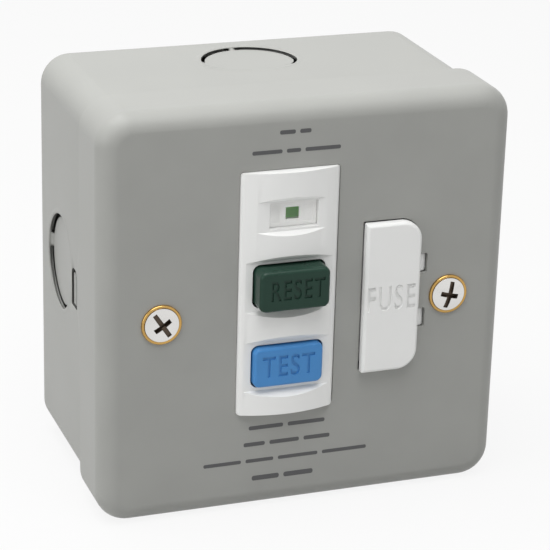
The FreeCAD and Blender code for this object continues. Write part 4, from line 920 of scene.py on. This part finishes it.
def recess_tools(node, turn):
    """Two crossed arms, one long and shallow, that taper as they go in."""
    low, _ = span(node)
    centre = middle(node)
    arms = ((RECESS_WIDTH, RECESS_LONG, RECESS_DEPTH * RECESS_SHALLOW),
            (RECESS_SHORT, RECESS_WIDTH, RECESS_DEPTH))
    tools = []
    for across, up, sink in arms:
        bm = bmesh.new()
        arm = outline(bm, front_plane(low.y - TOOL_REACH),
                      rectangle(-across / 2, across / 2, -up / 2, up / 2))
        ends = drawn(bm, arm, TOOL_REACH + sink)
        bmesh.ops.scale(bm, vec=(RECESS_TAPER, 1, RECESS_TAPER), verts=ends)
        bmesh.ops.rotate(bm, cent=(0, 0, 0), matrix=Matrix.Rotation(math.radians(turn), 3, "Y"),
                         verts=bm.verts)
        bmesh.ops.translate(bm, vec=(centre.x, 0, centre.z), verts=bm.verts)
        outward(bm)
        tools.append(bm)
    return tools


def build_screw(side, turn):
    """Plate screw with its recess; the recess's walls are dark."""
    node = f"plate_screw_{side}"
    lip = span(f"screw_cup_{side}")[0].y
    finishes = (nickel, recess_brown)
    bm = carved(node, screw_blank(node, lip), recess_tools(node, turn), finishes)
    bmesh.ops.remove_doubles(bm, verts=bm.verts, dist=MERGED_CUT)
    made = piece(f"screw_{side}", shaded_mesh(bm, node, 30.0), finishes, "unit",
                 [node])
    rounded_over(made, 0.05, 2, 35.0)


# Window of the flag

def stepped_block(low, high, rim, inset, face):
    """Block whose front steps in from a rim; its corners are given by its rear box."""
    bm = bmesh.new()
    base = outline(bm, front_plane(high.y), rectangle(low.x, high.x, low.z, high.z))
    drawn(bm, base, -rim)
    step = face_at(bm, high.y - rim)
    bmesh.ops.inset_region(bm, faces=[step], thickness=inset)
    drawn(bm, [step], face - high.y + rim, keep=False)
    outward(bm)
    return bm


def block(left, right, bottom, top, rear, front):
    """Plain block, used as a tool."""
    bm = bmesh.new()
    drawn(bm, outline(bm, front_plane(rear), rectangle(left, right, bottom, top)), front - rear)
    outward(bm)
    return bm


def build_window():
    """Clear cap over the flag's mask, hollow behind its face."""
    low, high = span("indicator_lens")
    bm = stepped_block(low, high, WINDOW_RIM, WINDOW_INSET, low.y)
    soften(bm, edges_at(bm, low.y), WINDOW_EDGE, 3)
    inset = WINDOW_INSET + WINDOW_WALL
    hollow = block(low.x + inset, high.x - inset, low.z + inset, high.z - inset,
                   high.y + TOOL_REACH, low.y + WINDOW_FACE)
    bm = carved("window", bm, [hollow], (window_clear,))
    outward(bm)
    piece("window_pane", shaded_mesh(bm, "window_pane", 50.0), window_clear, "unit",
          ["indicator_lens"])


def build_mask():
    """White blind close behind the window, with an opening for the flag and a panel on each side."""
    low, high = span("indicator_mask")
    lens_low, _ = span("indicator_lens")
    face = lens_low.y + WINDOW_FACE + MASK_BEHIND
    inset = WINDOW_INSET + WINDOW_WALL + MASK_PLAY
    inner = [v.co / MM for v in cad_nodes["indicator_mask"].data.vertices]
    inner = [p for p in inner if low.x + MASK_RIM < p.x < high.x - MASK_RIM
             and low.z + MASK_RIM < p.z < high.z - MASK_RIM]
    left, right = min(p.x for p in inner), max(p.x for p in inner)
    bottom, top = min(p.z for p in inner), max(p.z for p in inner)
    start = low.x + inset
    wide = high.x - inset - start
    front = face - TOOL_REACH
    rear = high.y + TOOL_REACH
    tools = [block(start + wide * a, start + wide * b, low.z + inset + PANEL_EDGE,
                   high.z - inset - PANEL_EDGE, face + PANEL_SINK, front) for a, b in MASK_PANELS]
    tools.append(block(left - FLAG_ROOM[0], right + FLAG_ROOM[1], low.z + inset + FLAG_ROOM_EDGE,
                       high.z - inset - FLAG_ROOM_EDGE, rear, face + MASK_SHEET))
    tools.append(block(left, right, bottom, top, rear, front))
    bm = stepped_block(low, high, high.y - low.y, inset, face)
    bm = carved("mask", bm, tools, (mask_white,))
    piece("mask_sheet", shaded_mesh(bm, "mask_sheet"), mask_white, "unit",
          ["indicator_mask"])


def build_flag():
    """Two-coloured slide whose face reaches past what the window's opening shows."""
    low, high = span("indicator_flag")
    bm = merged_copy("indicator_flag")
    face = outline(bm, front_plane(low.y + FLAG_SHEET),
                   rectangle(low.x, high.x + FLAG_WIDER, low.z - FLAG_LOWER, high.z, FLAG_CORNER), 3)
    drawn(bm, face, -FLAG_SHEET)
    outward(bm)
    piece("flag_slide", shaded_mesh(bm, "flag_slide"), flag_finish, "indicator_flag",
          ["indicator_flag"])


# Arched fascia and the fuse carrier's hinge

def build_fascia():
    """Arched white fascia with rounded corners and sunk pads."""
    bm = merged_copy("module_front")
    centre = middle("module_front")
    corners = [edge for edge in bm.edges if all(
        abs(abs(v.co.x - centre.x) - MODULE_WIDTH / 2) < ON_CORNER
        and abs(abs(v.co.z - centre.z) - MODULE_HEIGHT / 2) < ON_CORNER for v in edge.verts)]
    soften(bm, corners, MODULE_CORNER, 5)
    made = piece("module_fascia", shaded_mesh(bm, "module_fascia"), white_moulding, "unit",
                 ["module_front"])
    rounded_over(made, MODULE_EDGE, 3)


def cradle_corners(bm):
    """Edges along Y at the hinge side of the carrier's cradle, which swing past the plate."""
    hinge_side = span("fuse_carrier")[1].x - KNUCKLE_REACH
    upright = []
    for edge in bm.edges:
        one, other = (v.co for v in edge.verts)
        along = abs(one.x - other.x) + abs(one.z - other.z) < ON_LINE
        if along and abs(one.y - other.y) > CRADLE_TALL:
            upright.append(edge)
    near, far = CRADLE_BAND
    behind = [e for e in upright if near < hinge_side - e.verts[0].co.x < far]
    ends = [e.verts[0].co.z for e in behind]
    return [e for e in behind if e.verts[0].co.z in (min(ends), max(ends))]


def build_carrier():
    """Hinged fuse carrier with soft edges and a sunk word."""
    bm = merged_copy("fuse_carrier")
    soften(bm, cradle_corners(bm), CRADLE_ROUND, 5)
    sharp = [edge for edge in bm.edges if edge.calc_face_angle(0.0) > math.radians(40.0)]
    soften(bm, sharp, CARRIER_EDGE, 3)
    face = span("fuse_carrier")[0].y
    tool = engraving("FUSE", (FUSE_WORD_ASIDE, face, FUSE_WORD_HEIGHT), *FUSE_WORD_SIZE)
    bm = carved("carrier", bm, [tool], (white_moulding,))
    bmesh.ops.remove_doubles(bm, verts=bm.verts, dist=MERGED_CUT)
    made = piece("carrier_front", shaded_mesh(bm, "carrier_front"), white_moulding, "fuse_carrier",
                 ["fuse_carrier"])
    evened(made)


def build_hinge_covers():
    """Two lugs on the carrier that wrap its hinge pin and fill the plate's notches."""
    axis = middle("fuse_hinge_pin")
    front = axis.y - HINGE_COVER
    rear = axis.y + HINGE_COVER
    inner = axis.x - HINGE_COVER
    outer = axis.x + HINGE_COVER
    half = NOTCH_HEIGHT / 2 - HINGE_PLAY
    bm = bmesh.new()
    for centre in NOTCH_MIDDLES:
        lug = outline(bm, Matrix.Translation((0, 0, centre - half)), [
            (inner, front, 0.0), (outer, front, HINGE_ROUND), (outer, rear, HINGE_ROUND),
            (inner, rear, HINGE_ROUND)], 10)
        drawn(bm, lug, half * 2, along=(0, 0, 1))
    outward(bm)
    made = piece("carrier_hinge_lugs", shaded_mesh(bm, "carrier_hinge_lugs"), white_moulding,
                 "fuse_carrier")
    rounded_over(made, HINGE_EDGE, 4)


def build_springs():
    """Coils round the buttons' stems, copied from the nodes that the joints list as deforming as
    their button goes in.
    """
    for joint in frame["joints"]:
        for deformed in joint.get("deforming_nodes", []):
            node = deformed["node"]
            name = f"{node}_coil"
            coil = piece(name, shaded_mesh(merged_copy(node), name, 60.0), spring_steel, "unit",
                         [node])
            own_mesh(coil)


def dress_hidden_nodes():
    """Gives the CAD nodes that stay their own finishes."""
    finishes = {
        grey_moulding: ["housing"],
        dull_zinc: ["fixed_lug", "adjustable_lug"],
        zinc: ["terminal_screws", "solenoid_yoke", "trip_plunger"],
        brass_block: ["box_earth_terminal", "box_earth_screw"] + [
            node for node in cad_nodes if node.endswith("_terminal") and node[:3] in ("sup", "loa")],
        laminate: ["circuit_board"],
        ferrite: ["sensing_core"],
        resistor_body: ["test_resistor"],
        silvered_brass: ["test_contact", "moving_contacts", "fixed_contacts", "fuse_clip_lower",
                         "fuse_clip_upper"],
        black_moulding: ["solenoid_bobbin", "contact_carriage", "mechanism_frame"],
        copper_winding: ["solenoid_winding"],
        spring_steel: ["fuse_hinge_pin"],
        glazed_ceramic: ["fuse_tube"],
        nickel: ["fuse_cap_lower", "fuse_cap_upper"],
    }
    for material, nodes in finishes.items():
        for node in nodes:
            slots = cad_nodes[node].data.materials
            slots.clear()
            slots.append(material)


# Studio

def softbox(name, place, size, level):
    """Soft lamp that shines at the unit; its level is the light on a face turned to it."""
    lamp = bpy.data.lights.new(name, "AREA")
    lamp.shape = "RECTANGLE"
    lamp.size, lamp.size_y = size
    ray = Vector(LAMP_AIM) - Vector(place)
    lamp.energy = level * math.pi ** 2 * ray.length ** 2
    made = bpy.data.objects.new(name, lamp)
    made.location = place
    made.rotation_mode = "QUATERNION"
    made.rotation_quaternion = ray.to_track_quat("-Z", "Y")
    bpy.context.scene.collection.objects.link(made)


def background_rays(tree):
    """Output that is 1 for the rays that show the background, straight, mirrored or through glass."""
    paths = add(tree, "ShaderNodeLightPath")
    seen = paths.outputs["Is Camera Ray"]
    for kind in ("Is Glossy Ray", "Is Transmission Ray"):
        either = add(tree, "ShaderNodeMath", operation="MAXIMUM")
        tree.links.new(seen, either.inputs[0])
        tree.links.new(paths.outputs[kind], either.inputs[1])
        seen = either.outputs[0]
    return seen


def studio_paper():
    """Pale paper that shows white, and lets the unit's shadow through faintly."""
    material = finish("studio_paper", (0.56, 0.56, 0.556), 0.85, 40.0, 0.0001, 0.01)
    tree = material.node_tree
    link = tree.links.new
    share = add(tree, "ShaderNodeMath", {1: PAPER_WHITE}, operation="MULTIPLY")
    link(background_rays(tree), share.inputs[0])
    white = add(tree, "ShaderNodeEmission", {"Color": (1.0, 1.0, 1.0, 1.0), "Strength": 1.0})
    mixed = add(tree, "ShaderNodeMixShader")
    link(share.outputs[0], mixed.inputs["Fac"])
    link(tree.nodes["Principled BSDF"].outputs["BSDF"], mixed.inputs[1])
    link(white.outputs["Emission"], mixed.inputs[2])
    link(mixed.outputs["Shader"], tree.nodes["Material Output"].inputs["Surface"])
    return material


def studio_floor(height):
    """Wide pale floor under the unit."""
    bm = bmesh.new()
    bmesh.ops.create_grid(bm, x_segments=8, y_segments=8, size=3.0)
    bmesh.ops.translate(bm, vec=(0, 0, height), verts=bm.verts)
    mesh = bpy.data.meshes.new("studio_floor")
    bm.to_mesh(mesh)
    bm.free()
    mesh.materials.append(studio_paper())
    made = bpy.data.objects.new("studio_floor", mesh)
    bpy.context.scene.collection.objects.link(made)


def studio_world():
    """Plain soft surroundings, a little lighter above, that show white."""
    world = bpy.data.worlds.new("studio")
    world.use_nodes = True
    tree = world.node_tree
    link = tree.links.new
    place = add(tree, "ShaderNodeTexCoord")
    parts = add(tree, "ShaderNodeSeparateXYZ")
    link(place.outputs["Generated"], parts.inputs[0])
    low, high = SKY_LEVELS
    rise = add(tree, "ShaderNodeMapRange",
               {"From Min": -0.2, "From Max": 1.0, "To Min": low, "To Max": high})
    link(parts.outputs["Z"], rise.inputs["Value"])
    shown = add(tree, "ShaderNodeMix", {"B": 1.0}, data_type="FLOAT")
    link(background_rays(tree), shown.inputs["Factor"])
    link(rise.outputs["Result"], shown.inputs["A"])
    sky = tree.nodes["Background"]
    sky.inputs["Color"].default_value = (1.0, 1.0, 1.0, 1.0)
    link(shown.outputs["Result"], sky.inputs["Strength"])
    bpy.context.scene.world = world


def studio_camera():
    """Camera at the photograph's angle, with colours shown as they are written."""
    bpy.context.scene.view_settings.view_transform = "Standard"
    lens = bpy.data.cameras.new("camera")
    lens.sensor_width = SENSOR_WIDTH
    lens.lens = CAMERA_LENS
    lens.clip_start = 0.01
    lens.clip_end = 20.0
    made = bpy.data.objects.new("camera", lens)
    ahead = Vector(CAMERA_AHEAD).normalized()
    right = Vector(CAMERA_RIGHT)
    right = (right - ahead * right.dot(ahead)).normalized()
    up = right.cross(ahead)
    turn = Matrix((right, up, -ahead)).transposed().to_4x4()
    turn.translation = Vector(CAMERA_PLACE) * MM
    made.matrix_world = turn
    bpy.context.scene.collection.objects.link(made)
    bpy.context.scene.camera = made


build_plate()
build_print()
build_box()
build_fascia()
build_carrier()
build_button("reset_button", "reset_cap", green_moulding, RESET_WORD)
build_button("test_button", "test_cap", blue_moulding, TEST_WORD)
for side_name, lean_angle in (("left", -34.0), ("right", 14.0)):
    build_cup(side_name)
    build_screw(side_name, lean_angle)
build_window()
build_mask()
build_flag()
build_hinge_covers()
build_springs()
dress_hidden_nodes()

studio_floor(span("front_plate")[0].z * MM)
studio_world()
softbox("top_softbox", *TOP_LAMP)
softbox("left_softbox", *LEFT_LAMP)
studio_camera()
